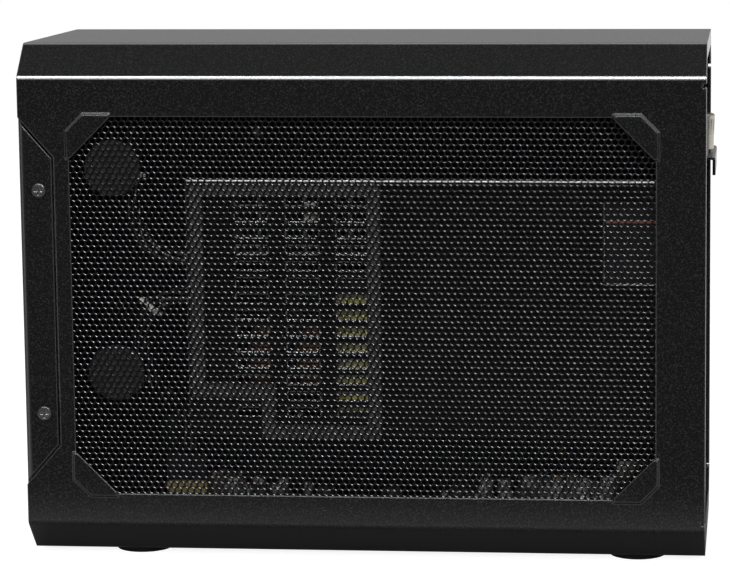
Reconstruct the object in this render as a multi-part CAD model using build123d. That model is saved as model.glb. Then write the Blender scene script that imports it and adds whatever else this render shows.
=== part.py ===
from build123d import *
import math
import os

# External graphics card enclosure. Millimetres. X runs from the front to the rear, Y from the power
# supply side to the card side, Z up from the desk. The origin is under the middle of the whole box.

# Folded sleeve
sleeve_length = 212.0
sleeve_height = 160.0
side_distance = 94.6
sheet = 1.0
fold_chamfer = 10.0
fold_radius = 2.6
rear_lip = 4.0
relief_width = 1.2
relief_depth = 1.2
relief_offset = 2.5

# Side windows, raised pads at their corners, perforated sheets behind them
window_strip = 5.5
window_rear_margin = 15.2
window_low_margin = 9.7
window_high_margin = 12.1
window_corner = 13.3
pad_raise = 0.7
pad_taper = 45.0
pad_margin = 1.2
pad_corner = 5.6
grille_sheet = 0.8
grille_overlap = 3.5
grille_pitch = 14.5
grille_web = 2.2
bumper_diameter = 17.7
bumper_thickness = 1.6
bumper_bevel = 0.5
bumper_bay_share = 0.456
bumper_low_share = 0.322
bumper_high_share = 0.864

# Front panel with side tongues, and its screws
tongue_length = 10.3
tongue_height = 113.2
tongue_slant = 11.7
tongue_gap = 0.7
case_screw_from_front = 6.1
case_screw_spacing = 70.0
case_screw_head = 4.6
case_screw_rise = 0.5
case_screw_taper = 30.0
case_screw_shank = 2.6
case_screw_length = 4.5
case_screw_slot = 0.7
case_screw_cross = 2.8
screw_clearance = 0.3

# Rubber feet
foot_height = 2.0
foot_diameter = 19.0
foot_taper = 0.8
foot_front_inset = 32.6
foot_rear_inset = 21.5
foot_side_inset = 21.5

# Inner tray, rear panel and mid plate
slide_gap = 0.2
tray_sheet = 1.0
tray_edge_gap = 2.0
rear_recess = 10.0
rear_overhang = 2.2
lip_drop = 5.9
vent_slot_count = 9
vent_slot_width = 3.0
vent_slot_height = 12.0
vent_slot_pitch = 6.5
vent_above_shelf = 20.0
port_clearance = 0.3
mid_sheet = 1.0
mid_leg_width = 10.0
mid_leg_gap = 2.0
mid_front_gap = 2.0
mid_above_window = 1.6
mid_shelf_width = 14.0
mid_foot_width = 10.0

# Power supply
psu_length = 150.0
psu_height = 81.5
psu_depth = 40.5
psu_sheet = 0.8
psu_bend = 1.2
psu_rise = 34.8
psu_side_gap = 3.2
psu_edge = 3.0
vent_columns = 3
vent_rows = 14
vent_width = 10.0
vent_height = 2.5
vent_column_pitch = 15.8
vent_row_pitch = 5.1
vent_from_front = 15.5
vent_low = 7.0
gasket_width = 4.7
gasket_length = 60.0
gasket_side_gap = 0.4
gasket_notch_length = 22.0
gasket_notch_height = 13.0
fan_window_length = 17.0
fan_window_height = 25.0
psu_pcb = 1.6
psu_pcb_gap = 4.0
psu_pcb_edge = 1.5
psu_boss_diameter = 5.0
psu_boss_inset = 6.0
psu_screw_head = 5.6
psu_screw_rise = 1.6
psu_screw_shank = 3.0
psu_screw_length = 4.0
psu_screw_bevel = 0.8

# Power supply fan
psu_fan_size = 38.0
psu_fan_depth = 20.0
psu_fan_bore = 35.6
psu_fan_tip_gap = 0.6
psu_fan_hub = 16.0
psu_fan_hub_round = 2.0
psu_fan_blades = 7
psu_fan_blade = 1.4
psu_fan_pitches = (60.0, 48.0)
psu_fan_margins = (2.4, 1.7)
psu_fan_spokes = 3
psu_fan_spoke = 2.2
fan_shaft = 3.0
fan_shaft_play = 0.1
fan_end_play = 0.5
guard_bar = 1.6
guard_hub = 12.0
guard_ring = 24.0

# Mains inlet
inlet_width = 27.0
inlet_height = 20.0
inlet_flange = 1.5
inlet_flange_thickness = 2.0
inlet_depth = 18.0
inlet_cavity_width = 24.0
inlet_cavity_height = 16.4
inlet_cavity_depth = 16.0
inlet_cavity_corner = 3.6
inlet_above_floor = 18.5
pin_width = 2.0
pin_height = 4.0
pin_length = 11.0
pin_spread = 7.0
pin_offset = 2.0
pin_chamfer = 0.5

# Power supply inner parts
transformer_length = 20.0
transformer_height = 40.0
transformer_depth = 25.0
transformer_from_front = 41.0
transformer_above_floor = 6.0
core_thickness = 5.0
core_overhang = 2.0
choke_diameter = 19.0
choke_hole = 8.0
choke_width = 9.0
choke_bevel = 1.8
choke_count = 2
choke_from_front = 15.5
choke_pitch = 15.8
choke_above_floor = 21.0
capacitor_diameter = 16.0
capacitor_height = 30.0
capacitor_bevel = 1.0
capacitor_columns = 2
capacitor_rows = 2
capacitor_from_front = 73.0
capacitor_pitch = 18.0
capacitor_above_floor = 12.0
cooler_length = 44.0
cooler_gap = 2.9
cooler_plate = 3.0
cooler_depth = 26.0
cooler_fins = 7
cooler_fin = 1.2
cooler_from_front = 14.0
cooler_below_roof = 6.0
grommet_width = 15.0
grommet_height = 27.0
grommet_flange = 1.5
grommet_thickness = 1.6
grommet_above_floor = 48.0

# Main board and what stands on it
board_standoff = 6.2
standoff_diameter = 5.0
standoff_bore = 2.7
standoff_inset = 6.0
standoff_floor_inset = 4.3
standoff_rear_inset = 26.0
board_pcb = 1.6
board_length = 165.0
board_width = 78.0
board_rear_gap = 0.5
board_screw_head = 5.0
board_screw_rise = 1.6
board_screw_bevel = 0.8
board_screw_shank = 2.5
board_screw_hole = 3.2
slot_width = 7.5
slot_height = 11.25
slot_seat = 3.0
slot_end = 2.0
slot_play = 0.1
chip_length = 14.0
chip_height = 1.2
heat_block_length = 36.0
heat_block_width = 18.0
heat_block_base = 2.0
heat_block_height = 9.0
heat_block_fins = 7
heat_block_fin = 1.1
heat_block_from_slot = 3.0
heat_block_from_rear = 78.0
coil_size = 7.2
coil_corner = 0.9
coil_height = 6.0
coil_count = 5
coil_pitch = 21.0
coil_from_front = 22.0
coil_from_edge = 4.5
can_diameter = 6.3
can_height = 9.0
can_bevel = 0.4
can_count = 5
can_from_coil = 10.0
inlet_block_length = 13.0
inlet_block_width = 10.0
inlet_block_height = 9.0
inlet_block_from_front = 4.0
inlet_block_from_edge = 16.0
plug_block_height = 8.0
plug_block_wall = 0.6

# Sockets at the rear of the main board
port_proud = 0.5
port_wall = 0.4
host_width = 9.0
host_height = 3.3
host_depth = 10.5
host_round = 1.5
host_tongue = 0.7
usb_width = 13.2
usb_height = 18.0
usb_depth = 18.5
usb_mouth_count = 2
usb_mouth_height = 5.4
usb_mouth_side = 0.8
usb_mouth_low = 2.2
usb_mouth_pitch = 9.0
usb_tongue = 1.9
usb_tongue_inset = 1.0
usb_tongue_back = 1.5
usb_count = 2
usb_from_host = 1.2
usb_from_card = 3.3
usb_gap = 0.8

# Graphics card
card_pcb = 1.57
card_back_gap = 3.0
card_length = 170.0
card_height = 104.0
finger_from_bracket = 51.7
finger_length = 85.0
key_from_finger = 12.15
key_width = 1.9
key_depth = 7.0
bracket_sheet = 0.86
bracket_width = 39.0
bracket_offset = 2.0
bracket_rise = 108.3
bracket_length = 104.0
bracket_edge = 2.5
bracket_tab_length = 5.0
bracket_tab_height = 5.0
bracket_tab_drop = 2.5
ear_length = 11.4
ear_slit_gap = 0.3
card_air_gap = 5.0
gpu_size = 34.0
gpu_height = 2.2
cold_plate = 4.0
fin_sheet = 0.5
fin_pitch = 4.4
fin_gap = 2.0
shroud_wall = 1.6
shroud_gap = 3.0
shroud_corner = 8.0
shroud_edge = 0.8
shroud_skirt = 9.0
shroud_lift = 4.0
card_fan_bore = 84.0
card_fan_ring = 2.0
card_fan_ring_gap = 0.4
card_fan_depth = 11.5
card_fan_tip_gap = 1.2
card_fan_hub = 34.0
card_fan_hub_round = 1.2
card_fan_blades = 11
card_fan_blade = 1.2
card_fan_pitches = (40.0, 24.0)
card_fan_margins = (1.4, 1.0)
card_fan_spokes = 3
card_fan_spoke = 4.0
card_fan_base = 2.0
video_port_width = 5.6
video_port_height = 16.2
video_port_depth = 17.0
video_port_count = 4
video_port_pitch = 21.5
video_port_below_shelf = 21.0
video_port_from_board = 0.9
video_tongue = 1.4
video_tongue_inset = 2.0
exhaust_count = 9
exhaust_width = 12.0
exhaust_height = 4.0
exhaust_pitch = 9.0
card_socket_length = 19.0
card_socket_width = 9.6
card_socket_height = 9.0
card_socket_from_end = 4.0
card_plug_height = 12.0

# Thumbscrew that holds the card bracket
thumb_from_sleeve = 2.5
thumb_head = 8.4
thumb_height = 11.4
thumb_taper = 0.4
thumb_groove = 0.5
thumb_flutes = 18
thumb_flute_length = 8.0
thumb_shank = 3.5
thumb_reach = 4.0
thumb_play = 0.1

# Inner leads
lead_diameter = 6.0
lead_spacing = 12.0
lead_arc_share = 0.45
lead_bend = 10.0
lead_shoulder_share = 0.453
lead_peak_share = 0.673

# Places worked out from the sizes above
total_length = sleeve_length + rear_overhang
front_x = -total_length / 2
sleeve_rear_x = front_x + sleeve_length
lip_x = sleeve_rear_x + rear_overhang
panel_out_x = sleeve_rear_x - rear_recess
panel_in_x = panel_out_x - sheet
front_in_x = front_x + sheet
side_y = side_distance / 2
sleeve_low = foot_height
sleeve_high = sleeve_low + sleeve_height
middle_z = (sleeve_low + sleeve_high) / 2
fit_inset = sheet + slide_gap
tray_low = sleeve_low + fit_inset
tray_top = tray_low + tray_sheet
floor_half = side_y - fold_chamfer - tray_edge_gap
window_x = (front_x + tongue_length + window_strip, sleeve_rear_x - window_rear_margin)
window_z = (sleeve_low + fold_chamfer + window_low_margin, sleeve_high - fold_chamfer - window_high_margin)
grille_out = side_y - sheet
grille_in = grille_out - grille_sheet

psu_x = (panel_in_x - psu_length, panel_in_x)
psu_near_y = -grille_in + psu_side_gap
psu_y = (psu_near_y, psu_near_y + psu_depth)
psu_z = (tray_top + psu_rise, tray_top + psu_rise + psu_height)
psu_floor = psu_z[0] + psu_sheet
psu_roof = psu_z[1] - psu_sheet
psu_pcb_y = (psu_y[1] - psu_sheet - psu_pcb_gap - psu_pcb, psu_y[1] - psu_sheet - psu_pcb_gap)
mid_y = (psu_y[1], psu_y[1] + mid_sheet)

board_x = (panel_in_x - board_rear_gap - board_length, panel_in_x - board_rear_gap)
board_y = (-board_width / 2, board_width / 2)
board_low = tray_top + board_standoff
board_top = board_low + board_pcb

card_y = (mid_y[1] + card_back_gap, mid_y[1] + card_back_gap + card_pcb)
card_mid_y = (card_y[0] + card_y[1]) / 2
finger_low = board_top + slot_seat
slot_top = board_top + slot_height
card_top = finger_low + card_height
bracket_x = (panel_in_x - bracket_sheet, panel_in_x)
card_x = (bracket_x[0] - card_length, bracket_x[0])
finger_x = (bracket_x[0] - finger_from_bracket - finger_length, bracket_x[0] - finger_from_bracket)
key_x = finger_x[1] - key_from_finger
shelf_top = finger_low + bracket_rise
bracket_y = (card_y[0] - bracket_offset, card_y[0] - bracket_offset + bracket_width)
bracket_z = (shelf_top - bracket_length, shelf_top + bracket_sheet)
card_front_y = grille_in - card_air_gap
fin_tip_y = card_front_y - card_fan_depth - shroud_wall
card_socket_x = (card_x[0] + card_socket_from_end, card_x[0] + card_socket_from_end + card_socket_length)
video_port_x = (panel_in_x + port_proud - video_port_depth, panel_in_x + port_proud)
cooler_x = (card_socket_x[1] + shroud_gap, video_port_x[0] - shroud_gap)
shroud_height = card_fan_bore + 2 * (card_fan_ring + card_fan_ring_gap + shroud_wall)
cooler_z = (slot_top + shroud_lift, slot_top + shroud_lift + shroud_height)
fan_centre = ((cooler_x[0] + cooler_x[1]) / 2, (cooler_z[0] + cooler_z[1]) / 2)
thumb_x = sleeve_rear_x - thumb_from_sleeve
thumb_y = (bracket_y[0] + bracket_y[1]) / 2

planes = {"x": Plane.YZ, "y": Plane.XZ, "z": Plane.XY}
axes = {"x": Vector(1, 0, 0), "y": Vector(0, 1, 0), "z": Vector(0, 0, 1)}
parts = {}


def outline(points):
    """Closed flat face through the points."""
    return make_face(Polyline(*points, close=True))


def prism(axis, sketch, span):
    """Sketch in the plane across the axis, drawn out between two places on that axis."""
    start = planes[axis] * sketch
    return extrude(Pos(axes[axis] * span[0]) * start, amount=span[1] - span[0], dir=axes[axis])


def block(x, y, z):
    """Box between two places on each axis."""
    size = [high - low for low, high in (x, y, z)]
    centre = [(high + low) / 2 for low, high in (x, y, z)]
    return Pos(*centre) * Box(*size)


def rod(axis, centre, diameter, span):
    """Round bar along an axis, centred on two places across it."""
    return prism(axis, Pos(*centre) * Circle(diameter / 2), span)


def group(items):
    """Several solids as one node."""
    result = items[0]
    for item in items[1:]:
        result += item
    return result


def around(centre, size):
    """Low and high places of a size about its centre."""
    return (centre - size / 2, centre + size / 2)


def widened(span, amount):
    """Low and high places moved apart at both ends."""
    return (span[0] - amount, span[1] + amount)


def rect(y, z):
    """Rectangle between two places on both axes of a plane."""
    return Pos((y[0] + y[1]) / 2, (z[0] + z[1]) / 2) * Rectangle(y[1] - y[0], z[1] - z[0])


def chamfered_rect(a, b, corner):
    """Rectangle with its four corners cut at 45 degrees."""
    return outline([
        (a[0] + corner, b[0]), (a[1] - corner, b[0]), (a[1], b[0] + corner), (a[1], b[1] - corner),
        (a[1] - corner, b[1]), (a[0] + corner, b[1]), (a[0], b[1] - corner), (a[0], b[0] + corner),
    ])


def folded_section(inset):
    """Eight-sided section of the sleeve, set in all round, with its folds rounded about one centre."""
    corner = fold_chamfer - inset * (2 - math.sqrt(2))
    face = chamfered_rect((inset - side_y, side_y - inset), (sleeve_low + inset, sleeve_high - inset), corner)
    radius = fold_radius - inset
    return fillet(face.vertices(), radius) if radius > 0 else face


def tongue_outline():
    """Side tongue of the front panel, narrowing away from the front edge."""
    low, high = around(middle_z, tongue_height)
    tip = front_x + tongue_length
    return outline([(front_x, low), (tip, low + tongue_slant), (tip, high - tongue_slant), (front_x, high)])


def corner_pad(x_side, z_side, inset):
    """Raised area round one corner of a window, before the window is cut through it."""
    corner_x = window_x[x_side]
    corner_z = window_z[z_side]
    out_x = 2 * x_side - 1
    out_z = 2 * z_side - 1
    near = pad_margin - inset
    cut = pad_corner - inset * (2 - math.sqrt(2))
    far = inset - window_corner
    points = [(far, near), (near - cut, near), (near, near - cut), (near, far), (far, far)]
    return outline([(corner_x + out_x * a, corner_z + out_z * b) for a, b in points])


def outer_sleeve():
    body = prism("x", folded_section(0) - folded_section(sheet), (front_x, sleeve_rear_x))
    lip = folded_section(sheet) - folded_section(sheet + rear_lip)
    body += prism("x", lip, (sleeve_rear_x - sheet, sleeve_rear_x))
    inner_step = sheet * math.tan(math.radians(pad_taper / 2))
    for side in (-1, 1):
        for x_side in (0, 1):
            for z_side in (0, 1):
                out = axes["y"] * side
                pad = Pos(out * side_y) * (Plane.XZ * corner_pad(x_side, z_side, 0))
                body += extrude(pad, amount=pad_raise, dir=out, taper=pad_taper)
                pocket = Pos(out * grille_out) * (Plane.XZ * corner_pad(x_side, z_side, inner_step))
                body -= extrude(pocket, amount=pad_raise, dir=out, taper=pad_taper)
    reach = (-side_y - 2 * pad_raise, side_y + 2 * pad_raise)
    body -= prism("y", chamfered_rect(window_x, window_z, window_corner), reach)
    body -= prism("y", offset(tongue_outline(), amount=tongue_gap, kind=Kind.INTERSECTION), reach)
    for fold in (sleeve_low + fold_chamfer + relief_offset, sleeve_high - fold_chamfer - relief_offset):
        body -= block((sleeve_rear_x - relief_depth, sleeve_rear_x), reach, around(fold, relief_width))
    return body


def side_grille(side):
    """Perforated sheet behind a window: six-sided holes in staggered rows."""
    sheet_x = widened(window_x, grille_overlap)
    sheet_z = widened(window_z, grille_overlap)
    hole = RegularPolygon((grille_pitch - grille_web) / 2, 6, major_radius=False, rotation=30)
    row_pitch = grille_pitch * math.sqrt(3) / 2
    centre_x = (window_x[0] + window_x[1]) / 2
    centre_z = (window_z[0] + window_z[1]) / 2
    rows = int((window_z[1] - window_z[0] - grille_pitch) / row_pitch) + 1
    holes = []
    for row in range(rows):
        z = centre_z + (row - (rows - 1) / 2) * row_pitch
        # The window's cut corners shorten the rows near its top and bottom.
        lost = max(0, window_corner - (window_z[1] - window_z[0]) / 2 + abs(z - centre_z) + grille_pitch / 2)
        room = window_x[1] - window_x[0] - 2 * lost - grille_pitch
        parity = row % 2
        count = 2 * int((room / grille_pitch + 1 + parity) / 2) + 1 - parity
        for column in range(count):
            x = centre_x + (column - (count - 1) / 2) * grille_pitch
            holes.append(Pos(x, z) * hole)
    face = rect(sheet_x, sheet_z) - holes
    span = (grille_in, grille_out) if side > 0 else (-grille_out, -grille_in)
    return prism("y", face, span)


def front_panel():
    """Plate in the mouth of the sleeve, with a folded tongue on each side that fills the sleeve's notch."""
    plate = prism("x", folded_section(fit_inset), (front_x, front_in_x))
    depth = (front_x, front_x + tongue_length)
    channel = rect(depth, (-side_y, side_y))
    front_corners = channel.vertices().sort_by(Axis.X)[:2]
    channel = fillet(front_corners, fold_radius)
    hollow = rect((front_in_x, depth[1]), (sheet - side_y, side_y - sheet))
    channel -= hollow
    low, high = around(middle_z, tongue_height)
    tongues = prism("z", channel, (low, high)) & prism("y", tongue_outline(), (-side_y, side_y))
    plate += tongues
    for x, z in case_screw_places():
        plate -= rod("y", (x, z), case_screw_shank + 2 * screw_clearance, (-side_y, side_y))
    return plate


def case_screw_places():
    x = front_x + case_screw_from_front
    return [(x, z) for z in around(middle_z, case_screw_spacing)]


def case_screws():
    """Low-headed cross-recess screws through the tongues into the tray's ears."""
    screws = []
    for side in (-1, 1):
        for x, z in case_screw_places():
            seat = Plane((x, side * side_y, z), x_dir=(1, 0, 0), z_dir=(0, side, 0))
            head = extrude(Circle(case_screw_head / 2), amount=case_screw_rise, taper=case_screw_taper)
            cross = Rectangle(case_screw_cross, case_screw_slot)
            cross += Rectangle(case_screw_slot, case_screw_cross)
            head -= Pos(0, 0, case_screw_rise / 2) * extrude(cross, amount=case_screw_rise)
            shank = extrude(Circle(case_screw_shank / 2), amount=-case_screw_length)
            screws.append(seat * (head + shank))
    return group(screws)


def foot(x, y):
    """Stick-on rubber foot, a little narrower at the desk."""
    low = Circle(foot_diameter / 2 - foot_taper)
    return Pos(x, y, 0) * loft([low, Pos(0, 0, foot_height) * Circle(foot_diameter / 2)])


def bumper(z):
    """Round foam pad stuck to the inner face of the perforated sheet."""
    bay = (front_x + tongue_length, psu_x[0])
    x = bay[0] + bumper_bay_share * (bay[1] - bay[0])
    pad = rod("y", (x, z), bumper_diameter, (-grille_in, -grille_in + bumper_thickness))
    edge = pad.edges().filter_by(GeomType.CIRCLE).sort_by(Axis.Y)[-1]
    return chamfer(edge, bumper_bevel)


def base_tray():
    """Floor plate with two ears folded up along the sleeve's front edge for the case screws."""
    tray = block((front_in_x, panel_in_x), (-floor_half, floor_half), (tray_low, tray_top))
    band = folded_section(fit_inset) - folded_section(fit_inset + tray_sheet)
    ear_top = middle_z + tongue_height / 2 - tongue_slant
    band -= rect((-side_y, side_y), (ear_top, sleeve_high))
    tray += prism("x", band, (front_in_x, front_x + tongue_length))
    for x, z in case_screw_places():
        tray -= rod("y", (x, z), case_screw_shank + slide_gap, (-side_y, side_y))
    return tray


def vent_slots():
    """Upright slots in a row above the bracket shelf."""
    z = around(shelf_top + vent_above_shelf, vent_slot_height)
    middle = (vent_slot_count - 1) / 2
    places = [(step - middle) * vent_slot_pitch for step in range(vent_slot_count)]
    return [rect(around(y, vent_slot_width), z) for y in places]


def rear_panel():
    """Recessed plate with a rim that reaches back to the sleeve's lip and a shelf for the card bracket."""
    face = folded_section(fit_inset)
    face -= rect(widened(psu_y, -psu_edge), widened(psu_z, -psu_edge))
    slot_y = widened(bracket_y, -bracket_edge)
    face -= rect(slot_y, (bracket_z[0] + bracket_edge, shelf_top - 2 * bracket_edge))
    slit_y = widened(bracket_y, ear_slit_gap)
    face -= rect(slit_y, (shelf_top, bracket_z[1] + ear_slit_gap))
    face -= vent_slots()
    for y, z in [host_place(), *usb_places()]:
        face -= rect(widened(y, port_clearance), widened(z, port_clearance))
    for y, z in psu_screw_places():
        face -= Pos(y, z) * Circle(psu_screw_shank / 2 + screw_clearance)
    panel = prism("x", face, (panel_in_x, panel_out_x))
    rim = folded_section(fit_inset) - folded_section(fit_inset + sheet)
    panel += prism("x", rim, (panel_out_x, sleeve_rear_x - sheet))
    shelf = rect((panel_out_x, lip_x), (shelf_top - lip_drop, shelf_top))
    shelf -= rect((panel_out_x, lip_x - sheet), (shelf_top - lip_drop, shelf_top - sheet))
    bend = shelf.vertices().sort_by_distance((lip_x, shelf_top))[0]
    shelf = fillet(bend, sheet)
    panel += prism("y", shelf, bracket_y)
    panel -= rod("z", (thumb_x, thumb_y), thumb_shank + 2 * thumb_play, (shelf_top - sheet, shelf_top))
    return panel


def mid_plate():
    """Partition between supply and card, standing before the main board, with a shelf under the supply."""
    front = front_in_x + mid_front_gap
    leg_x = board_x[0] - mid_leg_gap
    shelf_low = psu_z[0] - mid_sheet
    top = window_z[1] + mid_above_window
    plate = prism("y", outline([
        (front, tray_top), (leg_x, tray_top), (leg_x, shelf_low), (panel_in_x, shelf_low),
        (panel_in_x, top), (front, top),
    ]), mid_y)
    plate += block(psu_x, (mid_y[0] - mid_shelf_width, mid_y[0]), (shelf_low, psu_z[0]))
    foot_z = (tray_top, tray_top + mid_sheet)
    plate += block((leg_x - mid_leg_width, leg_x), (mid_y[0] - mid_foot_width, mid_y[0]), foot_z)
    return plate


def psu_fan_box():
    """Places of the supply's fan: against the rear wall, under the roof."""
    x = (psu_x[1] - psu_sheet - psu_fan_depth, psu_x[1] - psu_sheet)
    y = around((psu_y[0] + psu_y[1]) / 2, psu_fan_size)
    return x, y, (psu_roof - psu_fan_size, psu_roof)


def fan_middle():
    x, y, z = psu_fan_box()
    return ((y[0] + y[1]) / 2, (z[0] + z[1]) / 2)


def inlet_place():
    """Middle of the mains inlet on the supply's rear wall."""
    return ((psu_y[0] + psu_y[1]) / 2, psu_floor + inlet_above_floor)


def psu_screw_places():
    inset = psu_edge / 2 + psu_screw_shank / 2
    return [(psu_y[0] + inset, psu_z[0] + inset), (psu_y[1] - inset, psu_z[0] + inset)]


def psu_board_place():
    x = (psu_x[0] + psu_sheet + psu_pcb_edge, psu_fan_box()[0][0] - psu_pcb_edge)
    return x, (psu_floor + psu_pcb_edge, psu_roof - psu_pcb_edge)


def psu_case():
    """Far wall and both ends, folded as one, with the fan guard and the inlet hole in the rear end."""
    depth = (psu_y[0] + psu_sheet, psu_y[1])
    wall = rect(psu_x, depth)
    wall -= rect((psu_x[0] + psu_sheet, psu_x[1] - psu_sheet), (depth[0], depth[1] - psu_sheet))
    case = prism("z", wall, (psu_floor, psu_roof))
    rear = (psu_x[1] - psu_sheet, psu_x[1])
    centre = fan_middle()
    guard = Circle(psu_fan_bore / 2) - Circle(guard_ring / 2 + guard_bar / 2)
    guard += Circle(guard_ring / 2 - guard_bar / 2) - Circle(guard_hub / 2)
    guard -= Rectangle(psu_fan_size, guard_bar)
    guard -= Rectangle(guard_bar, psu_fan_size)
    case -= prism("x", Pos(*centre) * guard, rear)
    y, z = inlet_place()
    case -= prism("x", rect(around(y, inlet_width), around(z, inlet_height)), rear)
    for y, z in psu_screw_places():
        case -= rod("x", (y, z), psu_screw_shank + slide_gap, rear)
    y, z = grommet_place()
    case -= prism("x", Pos(y, z) * grommet_hole(), (psu_x[0], psu_x[0] + psu_sheet))
    (low, high), (bottom, top) = psu_board_place()
    for x in (low + psu_boss_inset, high - psu_boss_inset):
        for z in (bottom + psu_boss_inset, top - psu_boss_inset):
            case += rod("y", (x, z), psu_boss_diameter, (psu_pcb_y[1], psu_y[1] - psu_sheet))
    return case


def psu_cover():
    """Near face, roof and floor of the supply, folded as one, with vent slots and the fan's side opening."""
    wall = rect(psu_y, psu_z)
    wall = fillet(wall.vertices().sort_by(Axis.X)[:2], psu_bend)
    wall -= rect((psu_y[0] + psu_sheet, psu_y[1]), (psu_floor, psu_roof))
    cover = prism("x", wall, psu_x)
    near = (psu_y[0], psu_y[0] + psu_sheet)
    slots = []
    for column in range(vent_columns):
        for row in range(vent_rows):
            x = psu_x[0] + vent_from_front + column * vent_column_pitch
            z = psu_z[0] + vent_low + row * vent_row_pitch
            slots.append(rect((x, x + vent_width), (z, z + vent_height)))
    slots.append(rect((psu_x[1] - psu_edge - fan_window_length, psu_x[1] - psu_edge),
                      around(fan_middle()[1], fan_window_height)))
    return cover - [prism("y", slot, near) for slot in slots]


def vent_gasket():
    """Foam frame round the vent slots, filling the space to the perforated sheet, with one stepped corner."""
    z = psu_z
    x = (psu_x[0], psu_x[0] + gasket_length)
    notch = (x[0] + gasket_notch_length, z[0] + gasket_notch_height)
    outer = outline([
        (x[0], notch[1]), (notch[0], notch[1]), (notch[0], z[0]), (x[1], z[0]), (x[1], z[1]), (x[0], z[1]),
    ])
    inner = offset(outer, amount=-gasket_width, kind=Kind.INTERSECTION)
    return prism("y", outer - inner, (gasket_side_gap - grille_in, psu_y[0]))


def psu_screws():
    """Pan-head screws through the rear panel into the supply."""
    screws = []
    for y, z in psu_screw_places():
        head = rod("x", (y, z), psu_screw_head, (panel_out_x, panel_out_x + psu_screw_rise))
        head = chamfer(head.edges().filter_by(GeomType.CIRCLE).sort_by(Axis.X)[-1], psu_screw_bevel)
        shank = rod("x", (y, z), psu_screw_shank, (panel_out_x - psu_screw_length, panel_out_x))
        screws.append(head + shank)
    return group(screws)


def psu_board():
    x, z = psu_board_place()
    return block(x, psu_pcb_y, z)


def inlet():
    """Three-pin appliance inlet: flange, body and a socket with two cut corners."""
    y, z = inlet_place()
    mouth = psu_x[1] + inlet_flange_thickness
    body = prism("x", rect(around(y, inlet_width), around(z, inlet_height)), (mouth - inlet_depth, mouth))
    flange = rect(around(y, inlet_width + 2 * inlet_flange), around(z, inlet_height + 2 * inlet_flange))
    body += prism("x", fillet(flange.vertices(), inlet_flange), (psu_x[1], mouth))
    socket = rect(around(y, inlet_cavity_width), around(z, inlet_cavity_height))
    socket = chamfer(socket.vertices().sort_by(Axis.Y)[-2:], inlet_cavity_corner)
    return body - prism("x", socket, (mouth - inlet_cavity_depth, mouth))


def inlet_pins():
    """Flat earth pin above, live and neutral below, standing on the socket's floor."""
    y, z = inlet_place()
    floor = psu_x[1] + inlet_flange_thickness - inlet_cavity_depth
    places = [(y, z + pin_offset), (y - pin_spread, z - pin_offset), (y + pin_spread, z - pin_offset)]
    pins = []
    for pin_y, pin_z in places:
        pin = block((floor, floor + pin_length), around(pin_y, pin_width), around(pin_z, pin_height))
        pins.append(chamfer(pin.faces().sort_by(Axis.X)[-1].edges(), pin_chamfer))
    return group(pins)


def fan_rotor(hub, hub_round, tip, depth, blades, thickness, pitches, margins):
    """Hub cup with pitched blades lofted from root to tip, bored for its shaft. The axis is Z."""
    bore = fan_shaft + 2 * fan_shaft_play
    cup = Cylinder(hub / 2, depth, align=(Align.CENTER, Align.CENTER, Align.MIN))
    cup = fillet(cup.edges().filter_by(GeomType.CIRCLE).sort_by(Axis.Z)[-1], hub_round)
    sections = []
    for radius, pitch, margin in zip((hub / 2 - thickness, tip / 2), pitches, margins):
        chord = (depth - 2 * margin) / math.sin(math.radians(pitch))
        plane = Plane((radius, 0, depth / 2), x_dir=(0, 1, 0), z_dir=(1, 0, 0))
        sections.append(plane * (Rot(0, 0, pitch) * Rectangle(chord, thickness)))
    blade = loft(sections, ruled=True)
    blade &= Cylinder(tip / 2, depth, align=(Align.CENTER, Align.CENTER, Align.MIN))
    rotor = cup + [Rot(0, 0, 360 * step / blades) * blade for step in range(blades)]
    return rotor - Cylinder(bore / 2, depth - fan_end_play * 2, align=(Align.CENTER, Align.CENTER, Align.MIN))


def psu_fan_frame():
    """Square fan frame with a round bore, spokes at its inner end and the shaft."""
    x, y, z = psu_fan_box()
    centre = fan_middle()
    frame = prism("x", rect(y, z) - Pos(*centre) * Circle(psu_fan_bore / 2), x)
    base = (x[0], x[0] + psu_fan_spoke)
    spokes = Circle(psu_fan_hub / 2)
    for step in range(psu_fan_spokes):
        turn = 90 + 360 * step / psu_fan_spokes
        spokes += Rot(0, 0, turn) * (Pos(psu_fan_bore / 4, 0) * Rectangle(psu_fan_bore / 2, psu_fan_spoke))
    frame += prism("x", Pos(*centre) * spokes, base)
    return frame + rod("x", centre, fan_shaft, (base[1], x[1] - psu_fan_spoke - 2 * fan_end_play))


def psu_fan_rotor():
    x, y, z = psu_fan_box()
    low = x[0] + psu_fan_spoke + fan_end_play
    high = x[1] - fan_end_play
    tip = psu_fan_bore - 2 * psu_fan_tip_gap
    rotor = fan_rotor(psu_fan_hub, psu_fan_hub_round, tip, high - low,
                      psu_fan_blades, psu_fan_blade, psu_fan_pitches, psu_fan_margins)
    centre = fan_middle()
    return Plane((low, *centre), x_dir=(0, 1, 0), z_dir=(1, 0, 0)) * rotor


def transformer_winding():
    """Taped winding block, rounded where the tape goes round its ends."""
    x = psu_x[0] + transformer_from_front
    y = (psu_pcb_y[0] - transformer_depth, psu_pcb_y[0])
    z = psu_floor + transformer_above_floor
    coil = rect((x, x + transformer_length), (z, z + transformer_height))
    return prism("y", fillet(coil.vertices(), core_overhang), y)


def transformer_core():
    """Ferrite bars along both sides of the winding."""
    x = psu_x[0] + transformer_from_front
    y = (psu_pcb_y[0] - transformer_depth - core_overhang, psu_pcb_y[0])
    z = psu_floor + transformer_above_floor
    bars = []
    for low in (z - core_thickness, z + transformer_height):
        bars.append(block((x, x + transformer_length), y, (low, low + core_thickness)))
    return group(bars)


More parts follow.
